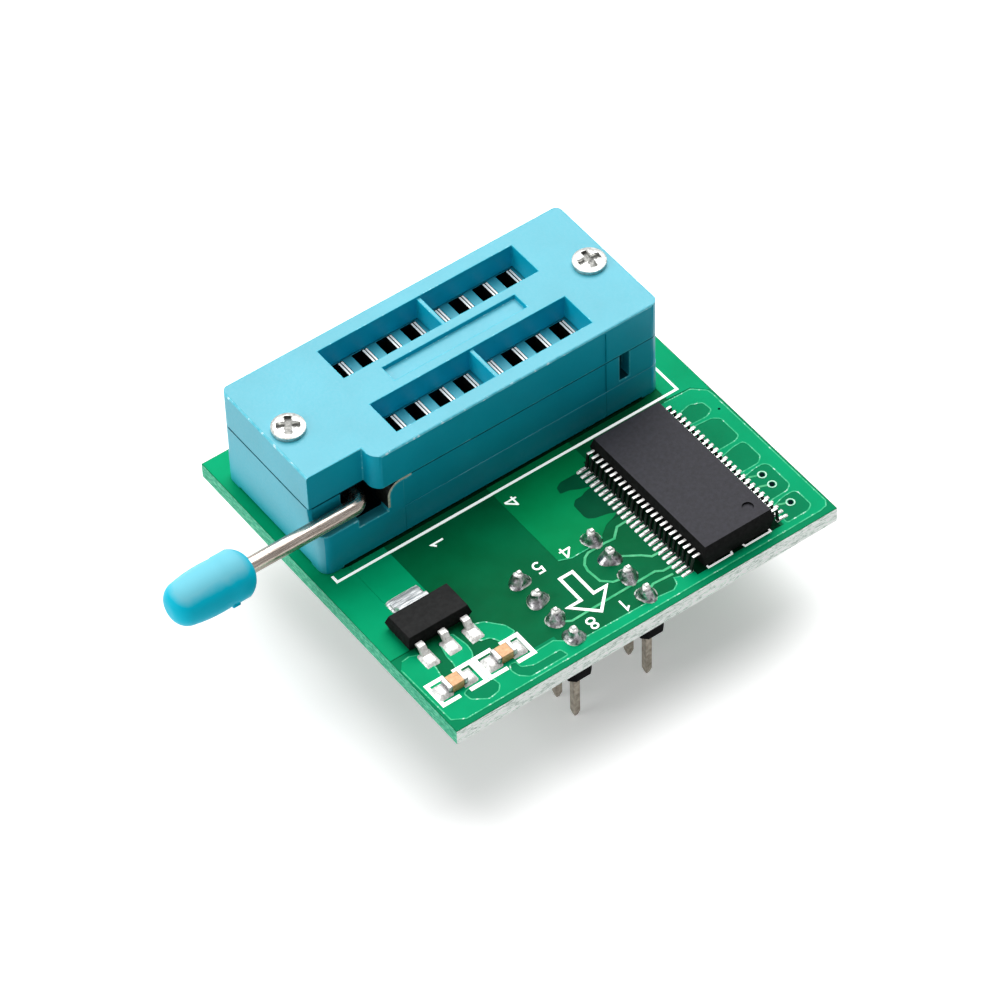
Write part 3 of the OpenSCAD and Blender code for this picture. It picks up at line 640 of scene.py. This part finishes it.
TRACKS = [
    [(24.98, 9.72), (23.9, 9.7), (22.9, 8.78), (22.0, 8.89), (20.2, 8.88), (19.67, 8.59), (19.17, 7.99),
     (19.0, 7.29), (19.13, 5.79), (19.93, 5.04), (20.9, 4.8)],
    [(21.0, 7.2), (22.04, 6.98), (23.58, 5.94), (24.24, 5.29), (25.1, 5.27)],
    [(13.2, 4.6), (14.64, 3.73), (16.55, 3.77), (23.43, 3.82), (24.0, 3.45), (24.93, 3.43)],
    [(21.0, 2.1), (22.46, 2.83), (24.46, 2.68)],
]
VIAS = [(37.28, 6.84), (37.28, 5.47), (37.25, 2.92)]
VIA_RING_R, VIA_RING_IN, VIA_HOLE_R, VIA_EDGE = 0.42, 0.31, 0.23, 0.01
# Where the vias' tracks end, and how much further back
STUB_END_X, STUB_RISE = 36.2, 0.45
# Small hole without a ring near the right edge: its place and radius
SMALL_HOLE = (39.07, 15.06, 0.12)
# Shade on the board: past the chip's long sides, and the socket's front, ends and corners
CHIP_SHADE = 0.7
SOCKET_SHADE, SOCKET_SHADE_ENDS, SOCKET_SHADE_ROUND = 0.2, 0.9, 1.6


def rectangle(left, front, right, back):
    """Closed outline of a rectangle."""
    return [(left, front), (right, front), (right, back), (left, back)]


def bare_places():
    """Outlines of the places without copper."""
    tabs = [rounded(tab, TAB_ROUND) for tab in BARE_TABS]
    return tabs + [rounded(gap, LINE_ROUND) for gap in BARE_BY_CAPACITORS]


def copper_areas():
    """Copper areas that show as raised lighter green, the centre's in a darker copy as painted shade, and
    beside them the mask: lighter along the rim as painted light, and darker by the chip.
    """
    # Along the rim the bare mask is painted lighter, as light
    flat_piece("mask_painted_light_at_rim", [[RIM]], COPPER_H / 2, MASK_LIT)
    flat_piece("mask_by_chip", [[BY_CHIP]], COPPER_H / 2, MASK_DARK)
    pour = POUR_EDGE + POUR_BY_CHIP + POUR_INNER + POUR_TOP
    bright = [[pour] + bare_places(), [ROUND_SOCKET]]
    bright += [[rounded(outline, AREA_ROUND)] for outline in (LEAD_2, LEAD_3, TAB)]
    flat_piece("copper_pour", bright, COPPER_H, MASK_ON_COPPER, COPPER_EDGE)
    # The centre's copper takes the darker copy as painted shade
    flat_piece("copper_centre", [[rounded(CENTRE, AREA_ROUND)]], COPPER_H, MASK_ON_CENTRE, COPPER_EDGE)


def copper_lines():
    """Tracks, and the bright lines along the edges of the copper, which are painted highlights."""
    tracks = [ribbon(line, TRACK_W) for line in TRACKS]
    flat_piece("copper_tracks", tracks, COPPER_H, TRACK, COPPER_EDGE)
    closed_lines = bare_places() + [rounded(outline, LINE_ROUND) for outline in (LEAD_2, LEAD_3)]
    open_lines = [POUR_EDGE, POUR_INNER, POUR_TOP, CENTRE[1:5]]
    rims = [ribbon(line, COPPER_LINE, closed=True) for line in closed_lines]
    rims += [ribbon(line, COPPER_LINE) for line in open_lines]
    flat_piece("copper_edge_highlights", rims, COPPER_H + RIM_LIFT, MASK_LINE)


def vias():
    """Vias with their short tracks, rings and holes."""
    stubs = [ribbon([(x, y), (STUB_END_X, y + STUB_RISE)], TRACK_W) for x, y in VIAS]
    flat_piece("via_tracks", stubs, COPPER_H + STUB_LIFT, TRACK)
    rings = [[circle(x, y, VIA_RING_R), circle(x, y, VIA_RING_IN)] for x, y in VIAS]
    flat_piece("via_rings", rings, COPPER_H + RING_LIFT, VIA_RING, VIA_EDGE)
    # The holes are painted near-black as shade
    holes = [[circle(x, y, VIA_HOLE_R)] for x, y in VIAS] + [[circle(*SMALL_HOLE)]]
    flat_piece("via_holes", holes, COPPER_H + HOLE_LIFT, PLASTIC_PAINTED_SHADE)


def shade():
    """Painted shade: darker mask under the chip and the socket."""
    low, high = node_box("shifter_body")
    by_chip = rectangle(low.x - CHIP_SHADE, low.y, high.x + CHIP_SHADE, high.y)
    low, high = node_box("socket_base")
    by_socket = rectangle(low.x + SOCKET_SHADE_ENDS, low.y - SOCKET_SHADE,
                          high.x - SOCKET_SHADE_ENDS, high.y - SOCKET_SHADE)
    shapes = [[by_chip], [rounded(by_socket, SOCKET_SHADE_ROUND)]]
    flat_piece("mask_in_shade", shapes, COPPER_H + SHADE_LIFT, MASK_SHADE)


INK_H = 0.02
INK_W = 0.28
OUTLINE_INK, FRAME_INK, BRACKET_INK, DIGIT_INK = 0.24, 0.38, 0.18, 0.16
# Digits as strokes in a box one high; strokes that cross lie in layers of their own
DIGIT_H = 1.2
DIGIT_MIDDLE = (0.3, 0.5)
DIGIT_LAYERS = 3
LAYER_LIFT = 0.004
DIGITS = {
    "1": [[(0.05, 0.74), (0.34, 1.0), (0.34, 0.0)]],
    "4": [[(0.5, 0.0), (0.5, 1.0)], [(0.47, 0.98), (-0.12, 0.3)], [(-0.2, 0.28), (0.74, 0.28)]],
    "5": [[(0.56, 1.0), (0.08, 1.0), (0.04, 0.55)] + arc(0.27, 0.32, 0.3, 130, -140, 14)],
    "8": [oval(0.3, 0.77, 0.25, 0.22), oval(0.3, 0.24, 0.3, 0.25)],
}
# Pin numbers with their places and turns in degrees
PIN_NUMBERS = [
    ("1", 10.82, 17.55, 90), ("4", 18.5, 17.35, 90), ("4", 18.77, 10.05, 180),
    ("5", 15.87, 10.1, 180), ("8", 15.83, 2.47, 180), ("1", 19.1, 2.45, 180),
]
SOCKET_OUTLINE = [(1.55, 19.86), (1.55, 19.1), (37.6, 19.1), (37.6, 35.6), (3.5, 35.6)]
# Arrow: its axis, the half widths of shaft and head, and where its top, neck and tip are
ARROW_X, SHAFT_HALF, HEAD_HALF = 17.23, 0.66, 2.0
ARROW_TOP, ARROW_NECK, ARROW_TIP = 8.0, 5.05, 3.08
# Frames round the capacitors: left and right sides, back and front, and half the gaps there
FRAME_SIDES = [(0.82, 5.22), (5.66, 10.1)]
FRAME_BACK, FRAME_FRONT = 5.35, 2.9
GAP_BACK, GAP_FRONT = 0.45, 0.5
CHIP_BRACKETS = [
    [(27.27, 2.05), (27.26, 1.4), (29.76, 1.4), (29.97, 2.05)],
    [(31.04, 1.96), (31.17, 1.4), (33.89, 1.4), (33.89, 2.02)],
]


def digit(sign, x, y, turn):
    """Strokes of a digit centred on a point and turned by an angle in degrees."""
    turned = Matrix.Rotation(math.radians(turn), 2)
    middle = Vector(DIGIT_MIDDLE)
    strokes = []
    for line in DIGITS[sign]:
        placed = [Vector((x, y)) + turned @ (Vector(point) - middle) * DIGIT_H for point in line]
        strokes.append(ribbon(placed, DIGIT_INK, closed=sign == "8"))
    return strokes


def arrow():
    """Outline of the arrow."""
    left, right = ARROW_X - SHAFT_HALF, ARROW_X + SHAFT_HALF
    return [(left, ARROW_TOP), (right, ARROW_TOP), (right, ARROW_NECK), (ARROW_X + HEAD_HALF, ARROW_NECK),
            (ARROW_X, ARROW_TIP), (ARROW_X - HEAD_HALF, ARROW_NECK), (left, ARROW_NECK)]


def capacitor_frames():
    """Lines of the frames round the capacitors, two halves each."""
    halves = []
    for left, right in FRAME_SIDES:
        middle = (left + right) / 2
        for end, turn in ((left, 1), (right, -1)):
            halves.append([(middle - turn * GAP_BACK, FRAME_BACK), (end, FRAME_BACK), (end, FRAME_FRONT),
                           (middle - turn * GAP_FRONT, FRAME_FRONT)])
    return halves


def silkscreen():
    """White ink: the socket's outline, arrow, marks round the small parts, and pin numbers."""
    shapes = [ribbon(SOCKET_OUTLINE, OUTLINE_INK), ribbon(arrow(), INK_W, closed=True)]
    shapes += [ribbon(line, FRAME_INK) for line in capacitor_frames()]
    shapes += [ribbon(line, BRACKET_INK) for line in CHIP_BRACKETS]
    flat_piece("silkscreen", shapes, INK_H + COPPER_H, SILK)
    strokes = [digit(*number) for number in PIN_NUMBERS]
    for layer in range(DIGIT_LAYERS):
        marks = [sign[layer] for sign in strokes if layer < len(sign)]
        flat_piece(f"pin_numbers_{layer + 1}", marks, INK_H + COPPER_H + layer * LAYER_LIFT, SILK)


# Solder

PLUG_PINS = range(1, 9)
CONTACTS = [f"contact_{row}_{n}" for row in ("back", "front") for n in range(1, 9)]
# A contact's axis, from its left side
CONTACT_AXIS = 0.26
# Solder cones as foot radius, end radius and height, and the ranges of their lean
PLUG_CONE = (0.98, 0.4, 1.12)
PLUG_LEAN_X, PLUG_LEAN_Y = (-0.16, -0.02), (-0.06, 0.06)
TAIL_CONE = (0.85, 0.24, 0.95)
TAIL_LEAN = (-0.08, 0.08)
CONE_FLARE = 1.35
# Blunt end of a cone, its radius and height as shares of the end radius
BLUNT_R, BLUNT_H = 0.55, 0.25
# Lumps with two and three waves round a cone, and ripples up it, as shares of the radius
TWO_LUMPS, THREE_LUMPS, RIPPLES = 0.09, 0.07, 0.04
# Share of faces at a cone's foot that are painted bright as highlights
GLINT_SHARE = 0.45
SOLDER_SMOOTH = 60
# Solder on the pads as width, length and height
REGULATOR_LUMP = (1.4, 1.8, 0.3)
CAPACITOR_LUMP = (1.5, 1.7, 0.42)
CHIP_LUMP = (1.4, 0.38, 0.12)
TAB_LUMP = (3.6, 1.7, 0.2)
# Where those lie, in from the ends of the leads or, by the capacitors, out from them
REGULATOR_LUMP_IN, CAPACITOR_LUMP_OUT, CHIP_LUMP_IN, TAB_LUMP_IN = 0.35, 0.25, 0.15, 0.25
REGULATOR_LEAD_W = 0.7
CHIP_LEAD_W = 0.27
CHIP_LEADS = 24


def grow_pillow(bm, x, y, width, length, height, steps=8):
    """Adds a low rounded mound of solder."""
    rows = []
    for i in range(steps + 1):
        u = 2 * i / steps - 1
        row = []
        for j in range(steps + 1):
            v = 2 * j / steps - 1
            z = height * (1 - u ** 4) * (1 - v ** 4)
            row.append(bm.verts.new((x + u * width / 2, y + v * length / 2, z)))
        rows.append(row)
    for i in range(steps):
        for j in range(steps):
            bm.faces.new((rows[i][j], rows[i + 1][j], rows[i + 1][j + 1], rows[i][j + 1]))


def grow_cone(bm, x, y, foot_r, top_r, height, lean, rng, base=0.0, up=1, sides=20, rings=9):
    """Adds a lumpy solder cone with a blunt end; the blunt end and a random share of faces at its foot take
    the second, brighter finish as painted highlights.
    """
    swing = [rng.uniform(0, math.tau) for _ in range(3)]
    last = None
    for ring in range(rings + 2):
        t = min(1, ring / rings)
        r = top_r + (foot_r - top_r) * (1 - t) ** CONE_FLARE
        z = height * t
        if ring > rings:
            r, z = top_r * BLUNT_R, height + top_r * BLUNT_H
        loop = []
        for side in range(sides):
            angle = math.tau * side / sides
            lump = TWO_LUMPS * math.sin(2 * angle + swing[0] + 2 * t)
            lump += THREE_LUMPS * math.sin(3 * angle + swing[1] - 3 * t)
            reach = r * (1 + lump + RIPPLES * math.sin(7 * t + swing[2]))
            loop.append(bm.verts.new((x + lean[0] * t + reach * math.cos(angle),
                                      y + lean[1] * t + reach * math.sin(angle),
                                      base + up * z)))
        if last:
            for side in range(sides):
                after = (side + 1) % sides
                face = bm.faces.new((last[side], last[after], loop[after], loop[side]))
                bright = ring > rings or (ring == 1 and rng.random() < GLINT_SHARE)
                face.material_index = 1 if bright else 0
        last = loop
    bm.faces.new(last).material_index = 1


def plug_joints():
    """Solder cones round the plug pins, on the top of the board."""
    rng = random.Random(7)
    bm = bmesh.new()
    for n in PLUG_PINS:
        low, high = node_box(f"plug_pin_{n}")
        middle = (low + high) / 2
        lean = (rng.uniform(*PLUG_LEAN_X), rng.uniform(*PLUG_LEAN_Y))
        grow_cone(bm, middle.x, middle.y, *PLUG_CONE, lean, rng)
    piece_of(bm, "plug_joints", [SOLDER, LEAD_TIN], SOLDER_SMOOTH, replaces=["plug_solder"])


def socket_joints():
    """Solder cones round the socket's tails, under the board."""
    rng = random.Random(11)
    bm = bmesh.new()
    for node in CONTACTS:
        low, high = node_box(node)
        middle = (low.y + high.y) / 2
        lean = (rng.uniform(*TAIL_LEAN), rng.uniform(*TAIL_LEAN))
        grow_cone(bm, low.x + CONTACT_AXIS, middle, *TAIL_CONE, lean, rng, base=-BOARD_T, up=-1)
    piece_of(bm, "socket_joints", [SOLDER, LEAD_TIN], SOLDER_SMOOTH, replaces=["contact_solder"])


def chip_lumps(bm):
    """Adds the solder under the chip's two rows of leads."""
    for side, turn in (("left", -1), ("right", 1)):
        low, high = node_box(f"shifter_leads_{side}")
        outer_end = low.x if turn < 0 else high.x
        first, last = low.y + CHIP_LEAD_W / 2, high.y - CHIP_LEAD_W / 2
        for i in range(CHIP_LEADS):
            y = first + (last - first) * i / (CHIP_LEADS - 1)
            grow_pillow(bm, outer_end - turn * CHIP_LUMP_IN, y, *CHIP_LUMP, steps=6)


def surface_joints():
    """Tinned pads and solder under the leads of the surface-mounted parts."""
    bm = bmesh.new()
    low, high = node_box("regulator_leads")
    half = REGULATOR_LEAD_W / 2
    for x in (low.x + half, (low.x + high.x) / 2, high.x - half):
        grow_pillow(bm, x, low.y + REGULATOR_LUMP_IN, *REGULATOR_LUMP)
    for n in (1, 2):
        low, high = node_box(f"capacitor_{n}_ends")
        for x in (low.x - CAPACITOR_LUMP_OUT, high.x + CAPACITOR_LUMP_OUT):
            grow_pillow(bm, x, (low.y + high.y) / 2, *CAPACITOR_LUMP)
    chip_lumps(bm)
    piece_of(bm, "surface_joints", LEAD_TIN, SOLDER_SMOOTH)
    bm = bmesh.new()
    low, high = node_box("regulator_tab")
    grow_pillow(bm, (low.x + high.x) / 2, high.y - TAB_LUMP_IN, *TAB_LUMP)
    piece_of(bm, "tab_joint", PAD_TIN, SOLDER_SMOOTH)


# Small parts

# Dimple in the chip's corner: place from the right and front, reach, and how far its floor drops
DIMPLE_IN = (1.6, 1.65)
DIMPLE_R = 0.56
DIMPLE_DROP = 0.12
# Above this height a plug pin is wetted with solder
PIN_WET_Z = 1.0


def not_top(normal, centre):
    """Test for faces that don't look straight up."""
    return normal.z < 0.9


def upright(normal, centre):
    """Test for faces that stand, or nearly."""
    return abs(normal.z) < 0.6


def chip():
    """Level shifter's body, with the dimple in its corner deepened."""
    body = dressed_copy("shifter_body", [EPOXY, EPOXY, DARK_EPOXY], bevel=0.05, sharp=20)
    low, high = node_box("shifter_body")
    for vert in body.data.vertices:
        place = board_point(vert.co)
        across = math.hypot(place.x - high.x + DIMPLE_IN[0], place.y - low.y - DIMPLE_IN[1])
        if across < DIMPLE_R and high.z - DIMPLE_DROP < place.z < high.z - DIMPLE_DROP / 4:
            vert.co.z -= DIMPLE_DROP * MM
    # The sides and the dimple's wall take the darker epoxy as painted shade
    paint(body, DARK_EPOXY, not_top)


def small_parts():
    """Chips, capacitors and pins in their CAD shape with broken edges; shaded faces are darker."""
    regulator = dressed_copy("regulator_body", [DARK_EPOXY, DARK_EPOXY, REGULATOR_TOP], bevel=0.06)
    # The regulator's top takes the lighter, glossier copy and its sides the darker one: painted light and
    # shade
    paint(regulator, REGULATOR_TOP, lambda normal, centre: normal.z > 0.9)
    chip()
    dressed_copy("regulator_leads", LEAD_TIN, bevel=0.05)
    dressed_copy("regulator_tab", PAD_TIN, bevel=0.05)
    for side in ("left", "right"):
        leads = dressed_copy(f"shifter_leads_{side}", [LEAD_TIN, LEAD_TIN, METAL_SHADE], bevel=0.025)
        paint(leads, METAL_SHADE, upright)
        dressed_copy(f"plug_insulator_{side}", BLACK_PLASTIC, bevel=0.08)
    for n in PLUG_PINS:
        pin = dressed_copy(f"plug_pin_{n}", [PIN_METAL, PIN_METAL, LEAD_TIN], bevel=0.05)
        paint(pin, LEAD_TIN, lambda normal, centre: centre.z > PIN_WET_Z)
    for n in (1, 2):
        dressed_copy(f"capacitor_{n}_body", CERAMIC, bevel=0.04)
        ends = dressed_copy(f"capacitor_{n}_ends", [LEAD_TIN, LEAD_TIN, SOLDER], bevel=0.1)
        # The ends' upright faces take the darker solder as painted shade
        paint(ends, SOLDER, upright)


# Socket

HOUSING = [PLASTIC, PLASTIC_EDGE, PLASTIC_PAINTED_SHADE, PLASTIC_PAINTED_SHEEN, PARTING_AND_PAINTED_SHADE, PLASTIC_SLOT_PAINTED_LIGHT, PLASTIC_RIM]
# Boxes in the socket: contact chambers, lever bay and side window, all painted dark as shade, and the two
# slots
CHAMBERS_LOW, CHAMBERS_HIGH = (9.4, 21.4, 1.0), (31.2, 33.4, 8.13)
BAY_LOW, BAY_HIGH = (4.2, 21.2, 1.0), (9.4, 34.0, 8.13)
WINDOW_LOW, WINDOW_HIGH = (32.1, 20.3, 3.6), (33.4, 21.4, 6.95)
SLOTS_LOW, SLOTS_HIGH = (9.9, 21.6, 8.0), (30.7, 33.3, 10.85)
# The left end's faces lie left of this place, and the cover's edges that are painted paler, as highlight with
# flecks of wear, lie above this height
LEFT_END = 3.0
RIM_Z = 10.6
# Height of the joint between base and cover, and how near to it faces are dark
PARTING_Z, PARTING_NEAR = 6.9, 0.12
SCREW_X, SCREW_Y = (3.05, 34.51), 27.45
SCREW_RECESS_R, SCREW_RECESS_Z = 1.12, (11.0, 11.34)
# Upright edge of the base at the left end of the lever's recess, and its radius
BASE_CORNER = ((0.9, 21.85, 3.0), (1.1, 22.05, 7.0), 0.4)
# Corners of the sunk panel between the slots, and how much deeper it is shown
PANEL_LOW, PANEL_HIGH = (13.0, 26.2, 10.5), (27.4, 28.7, 10.72)
PANEL_DROP = 0.2
# The base's front is flush left of this place, and has a fine ledge from there on
LEDGE_FROM = 9.45
LEDGE_LOW, LEDGE_HIGH = (0.9, 20.0, 3.2), (LEDGE_FROM - 0.03, 21.25, 3.4)
LEDGE_STEP = 0.09
# Faint mould seams on the socket's front as x, bottom and top, with their width, height and depth
SEAMS = [(LEDGE_FROM, 0.3, 3.2), (30.7, 0.3, 3.2), (30.7, 3.4, 6.7), (30.7, 7.1, 10.6)]
SEAM_W, SEAM_H, SEAM_IN = 0.05, 0.01, 0.3
# Nub left by the mould's gate on the lower front of the knob: its centre, way out, radius and height
NUB_AT, NUB_OUT = (-8.35, 19.18, 4.07), (0, -0.8, -0.6)
NUB_R, NUB_H = 0.34, 0.1
NUB_FLARE, NUB_SIDES = 1.25, 20
# Contacts: sheet thickness, underside and top of the foot, the spring tine's knee and its way from the axis,
# and the tail's section
TINE_T = 0.18
CONTACT_FOOT = 1.6
FOOT_TOP = CONTACT_FOOT + TINE_T
KNEE_BELOW_TOP = 1.4
SPRING_OFF_AXIS = 0.03
TAIL_W, TAIL_D = 0.3, 0.5
SPRING_STEPS = 6


def sheen_faces(normal, centre):
    """Test for the faces that get the paler copy as painted sheen: those that look up or right, and the left
    end.
    """
    return normal.z > 0.7 or normal.x > 0.3 or normal.x < -0.7 and centre.x < LEFT_END


def parting(normal, centre):
    """Test for the level faces in the joint between base and cover."""
    return abs(centre.z - PARTING_Z) < PARTING_NEAR and abs(normal.z) > 0.2


def slot_wall(normal, centre):
    """Test for the upright walls of the two slots, which get a lighter copy of the plastic as painted light.
    """
    return abs(normal.z) < 0.5 and in_box(centre, SLOTS_LOW, SLOTS_HIGH)


def top_rim(normal, centre):
    """Test for the broken edges round the cover's top, without those of the slots; they get a paler copy as
    painted highlight, flecked with wear.
    """
    in_slots = all(SLOTS_LOW[axis] < centre[axis] < SLOTS_HIGH[axis] for axis in (0, 1))
    return centre.z > RIM_Z and 0.15 < normal.z < 0.95 and not in_slots


def side_window(normal, centre):
    """Test for the small window in the front, without its right side; its back and floor take the joint's dark
    colour as painted shade.
    """
    return normal.x > -0.5 and in_box(centre, WINDOW_LOW, WINDOW_HIGH)


def screw_recess_painted_shade(normal, centre):
    """Test for the cross recesses of the screws."""
    to_axis = min(math.hypot(centre.x - x, centre.y - SCREW_Y) for x in SCREW_X)
    return SCREW_RECESS_Z[0] < centre.z < SCREW_RECESS_Z[1] and to_axis < SCREW_RECESS_R


def paint_sheen_and_joint(piece):
    """Gives the faces that look up or right, and the left end, a paler copy as painted sheen, leaves the
    broken edges as they are, and darkens the joint.
    """
    edges = [face for face in piece.data.polygons if face.material_index == EDGE_SLOT]
    paint(piece, PLASTIC_PAINTED_SHEEN, sheen_faces)
    for face in edges:
        face.material_index = EDGE_SLOT
    paint(piece, PARTING_AND_PAINTED_SHADE, parting)


def housing():
    """Base, cover and slider of the socket, with the cover's screws."""
    base = dressed_copy("socket_base", HOUSING, bevel=0.1, clamp=False, rounds=[BASE_CORNER])
    split_faces(base, 0, LEDGE_FROM - SEAM_W, LEDGE_FROM)
    close_step(base, LEDGE_LOW, LEDGE_HIGH, LEDGE_STEP)
    cover = dressed_copy("socket_cover", HOUSING, bevel=0.1, sharp=25, clamp=False)
    slider = dressed_copy("socket_slider", HOUSING, bevel=0.06, body="slider")
    for vert in cover.data.vertices:
        if in_box(board_point(vert.co), PANEL_LOW, PANEL_HIGH):
            vert.co.z -= PANEL_DROP * MM
    for piece in (base, cover, slider):
        paint_sheen_and_joint(piece)
    paint(cover, PLASTIC_RIM, top_rim)
    paint(cover, PLASTIC_SLOT_PAINTED_LIGHT, slot_wall)
    # Painted shade: the contact chambers, and then the lever bay, turn near-black
    for piece in (base, slider):
        paint(piece, PLASTIC_PAINTED_SHADE, inside(CHAMBERS_LOW, CHAMBERS_HIGH))
    split_faces(base, 1, BAY_LOW[1])
    paint(base, PLASTIC_PAINTED_SHADE, inside(BAY_LOW, BAY_HIGH))
    # The side window's back and floor take the joint's dark colour as painted shade
    paint(base, PARTING_AND_PAINTED_SHADE, side_window)
    # The screws' broken edges take the brighter tin as painted highlight, and their cross recesses the darker
    # metal as painted shade
    screws = dressed_copy("cover_screws", [SCREW_METAL, LEAD_TIN, SCREW_RECESS], bevel=0.05)
    paint(screws, SCREW_RECESS, screw_recess_painted_shade)


def lever():
    """Rod and knob of the lever, and the spring strip at its notch."""
    strip = dressed_copy("lever_spring_strip", [SPRING_STEEL, SPRING_STEEL, METAL_SHADE], bevel=0.04)
    paint(strip, METAL_SHADE, lambda normal, centre: normal.y > -0.5)
    dressed_copy("lever_rod", STEEL, body="lever", sharp=50)
    dressed_copy("lever_knob", KNOB_PLASTIC, body="lever", sharp=60)


def fixed_tine(node):
    """Foot, fixed tine and tail of a contact, which ride on the board."""
    low, high = node_box(node)
    tine = low.x + TINE_T
    bm = bmesh.new()
    prism(bm, [(low.x, CONTACT_FOOT), (high.x, CONTACT_FOOT), (high.x, FOOT_TOP), (tine, FOOT_TOP),
               (tine, high.z), (low.x, high.z)], low.y, high.y)
    middle = (low.y + high.y) / 2
    left, right = low.x + CONTACT_AXIS - TAIL_W / 2, low.x + CONTACT_AXIS + TAIL_W / 2
    prism(bm, rectangle(left, low.z, right, CONTACT_FOOT), middle - TAIL_D / 2, middle + TAIL_D / 2)
    fixed = piece_of(bm, node + "_fixed", [TINE, METAL_SHADE], replaces=[node])
    paint(fixed, METAL_SHADE, not_top)


def spring_tine(node):
    """Spring tine of a contact, made as a loose piece that belongs to no body."""
    low, high = node_box(node)
    axis = low.x + CONTACT_AXIS
    side = axis + SPRING_OFF_AXIS + TINE_T
    knee = high.z - KNEE_BELOW_TOP
    right = []
    for i in range(SPRING_STEPS + 1):
        t = i / SPRING_STEPS
        right.append((high.x + (side - high.x) * t, FOOT_TOP + (knee - FOOT_TOP) * t))
    right.append((side, high.z))
    bm = bmesh.new()
    prism(bm, right + [(x - TINE_T, z) for x, z in right[::-1]], low.y, high.y)
    spring = piece_of(bm, node + "_spring", [TINE, METAL_SHADE], body=None)
    paint(spring, METAL_SHADE, not_top)
    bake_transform(spring)


def contacts():
    """Sixteen contacts with two tines each."""
    for node in CONTACTS:
        fixed_tine(node)
        spring_tine(node)


def mould_marks():
    """Seams on the socket's front and the gate nub on the knob."""
    front = node_box("socket_base")[0].y
    bm = bmesh.new()
    for x, bottom, top in SEAMS:
        prism(bm, rectangle(x, bottom, x + SEAM_W, top), front - SEAM_H, front + SEAM_IN)
    piece_of(bm, "mould_seams", SEAM)
    bm = bmesh.new()
    turn = Vector(NUB_OUT).to_track_quat("Z", "Y").to_matrix().to_4x4()
    bmesh.ops.create_cone(bm, cap_ends=True, segments=NUB_SIDES, radius1=NUB_R * NUB_FLARE, radius2=NUB_R,
                          depth=2 * NUB_H, matrix=Matrix.Translation(NUB_AT) @ turn)
    piece_of(bm, "knob_nub", KNOB_PLASTIC, angle=50, body="lever")


# Stage

# Camera: place in millimetres, turn in degrees, lens and sensor in millimetres, clipping in metres
CAMERA_AT = (-165.08, -223.25, 331.44)
CAMERA_TURN = (41.302, 1.209, -36.471)
LENS = 184.41
SENSOR = 36.0
CLIP_NEAR, CLIP_FAR = 0.01, 20
# Point in metres that the lamps look at
LAMP_AIM = (0, 0.012, 0.005)


def camera():
    """Camera at the photograph's place."""
    data = bpy.data.cameras.new("camera")
    data.sensor_width = SENSOR
    data.lens = LENS
    data.clip_start, data.clip_end = CLIP_NEAR, CLIP_FAR
    eye = linked("camera", data)
    eye.location = Vector(CAMERA_AT) * MM
    eye.rotation_euler = [math.radians(turn) for turn in CAMERA_TURN]
    bpy.context.scene.camera = eye


def area_light(name, at, size, power):
    """Soft square lamp aimed at the object, in metres and watts."""
    data = bpy.data.lights.new(name, "AREA")
    data.shape = "SQUARE"
    data.size = size
    data.energy = power
    lamp = linked(name, data)
    lamp.location = at
    lamp.rotation_euler = (Vector(LAMP_AIM) - Vector(at)).to_track_quat("-Z", "Y").to_euler()


def seen_rays(tree):
    """1 for rays from the camera, from a mirror or through glass, 0 for others."""
    rays = add_node(tree, "LightPath").outputs
    seen = add_math(tree, "MAXIMUM", rays["Is Camera Ray"], rays["Is Glossy Ray"])
    return add_math(tree, "MAXIMUM", seen, rays["Is Transmission Ray"])


def world(ambient, mirrored):
    """White surroundings: one level for light, another where they are seen or mirrored."""
    made = bpy.data.worlds.new("studio")
    made.use_nodes = True
    tree = made.node_tree
    background = tree.nodes["Background"]
    set_inputs(background, Color=WHITE)
    strength = add_node(tree, "MapRange", To_Min=ambient, To_Max=mirrored)
    tree.links.new(seen_rays(tree), strength.inputs["Value"])
    tree.links.new(strength.outputs["Result"], background.inputs["Strength"])
    bpy.context.scene.world = made


def floor_material(lift):
    """Pale matt white, lifted a little towards white where it is seen or mirrored."""
    made = bpy.data.materials.new("floor_white")
    made.use_nodes = True
    tree = made.node_tree
    shader = tree.nodes["Principled BSDF"]
    set_inputs(shader, Base_Color=(0.9, 0.9, 0.9, 1), Roughness=0.9, Specular_IOR_Level=0.1,
               Emission_Color=WHITE)
    glow = add_math(tree, "MULTIPLY", seen_rays(tree), lift)
    tree.links.new(glow, shader.inputs["Emission Strength"])
    return made


def floor(size, lift):
    """Square floor under the pins, its size in metres."""
    bm = bmesh.new()
    bmesh.ops.create_grid(bm, x_segments=1, y_segments=1, size=size / 2)
    mesh = mesh_of(bm, "floor", Matrix.Translation((0, 0, cad_box[0].z)))
    mesh.materials.append(floor_material(lift))
    plane = linked("floor", mesh)


def stage():
    """Camera, soft lamps, white surroundings and floor."""
    bpy.context.scene.view_settings.view_transform = "Standard"
    camera()
    world(ambient=0.22, mirrored=0.5)
    floor(size=3.0, lift=0.34)
    area_light("top", at=(0.3, 0.42, 0.8), size=1.0, power=13.5)
    area_light("left", at=(-0.78, 0.2, 0.42), size=0.5, power=3.6)


board()
copper_areas()
copper_lines()
vias()
shade()
silkscreen()
plug_joints()
socket_joints()
surface_joints()
small_parts()
housing()
lever()
contacts()
mould_marks()
stage()
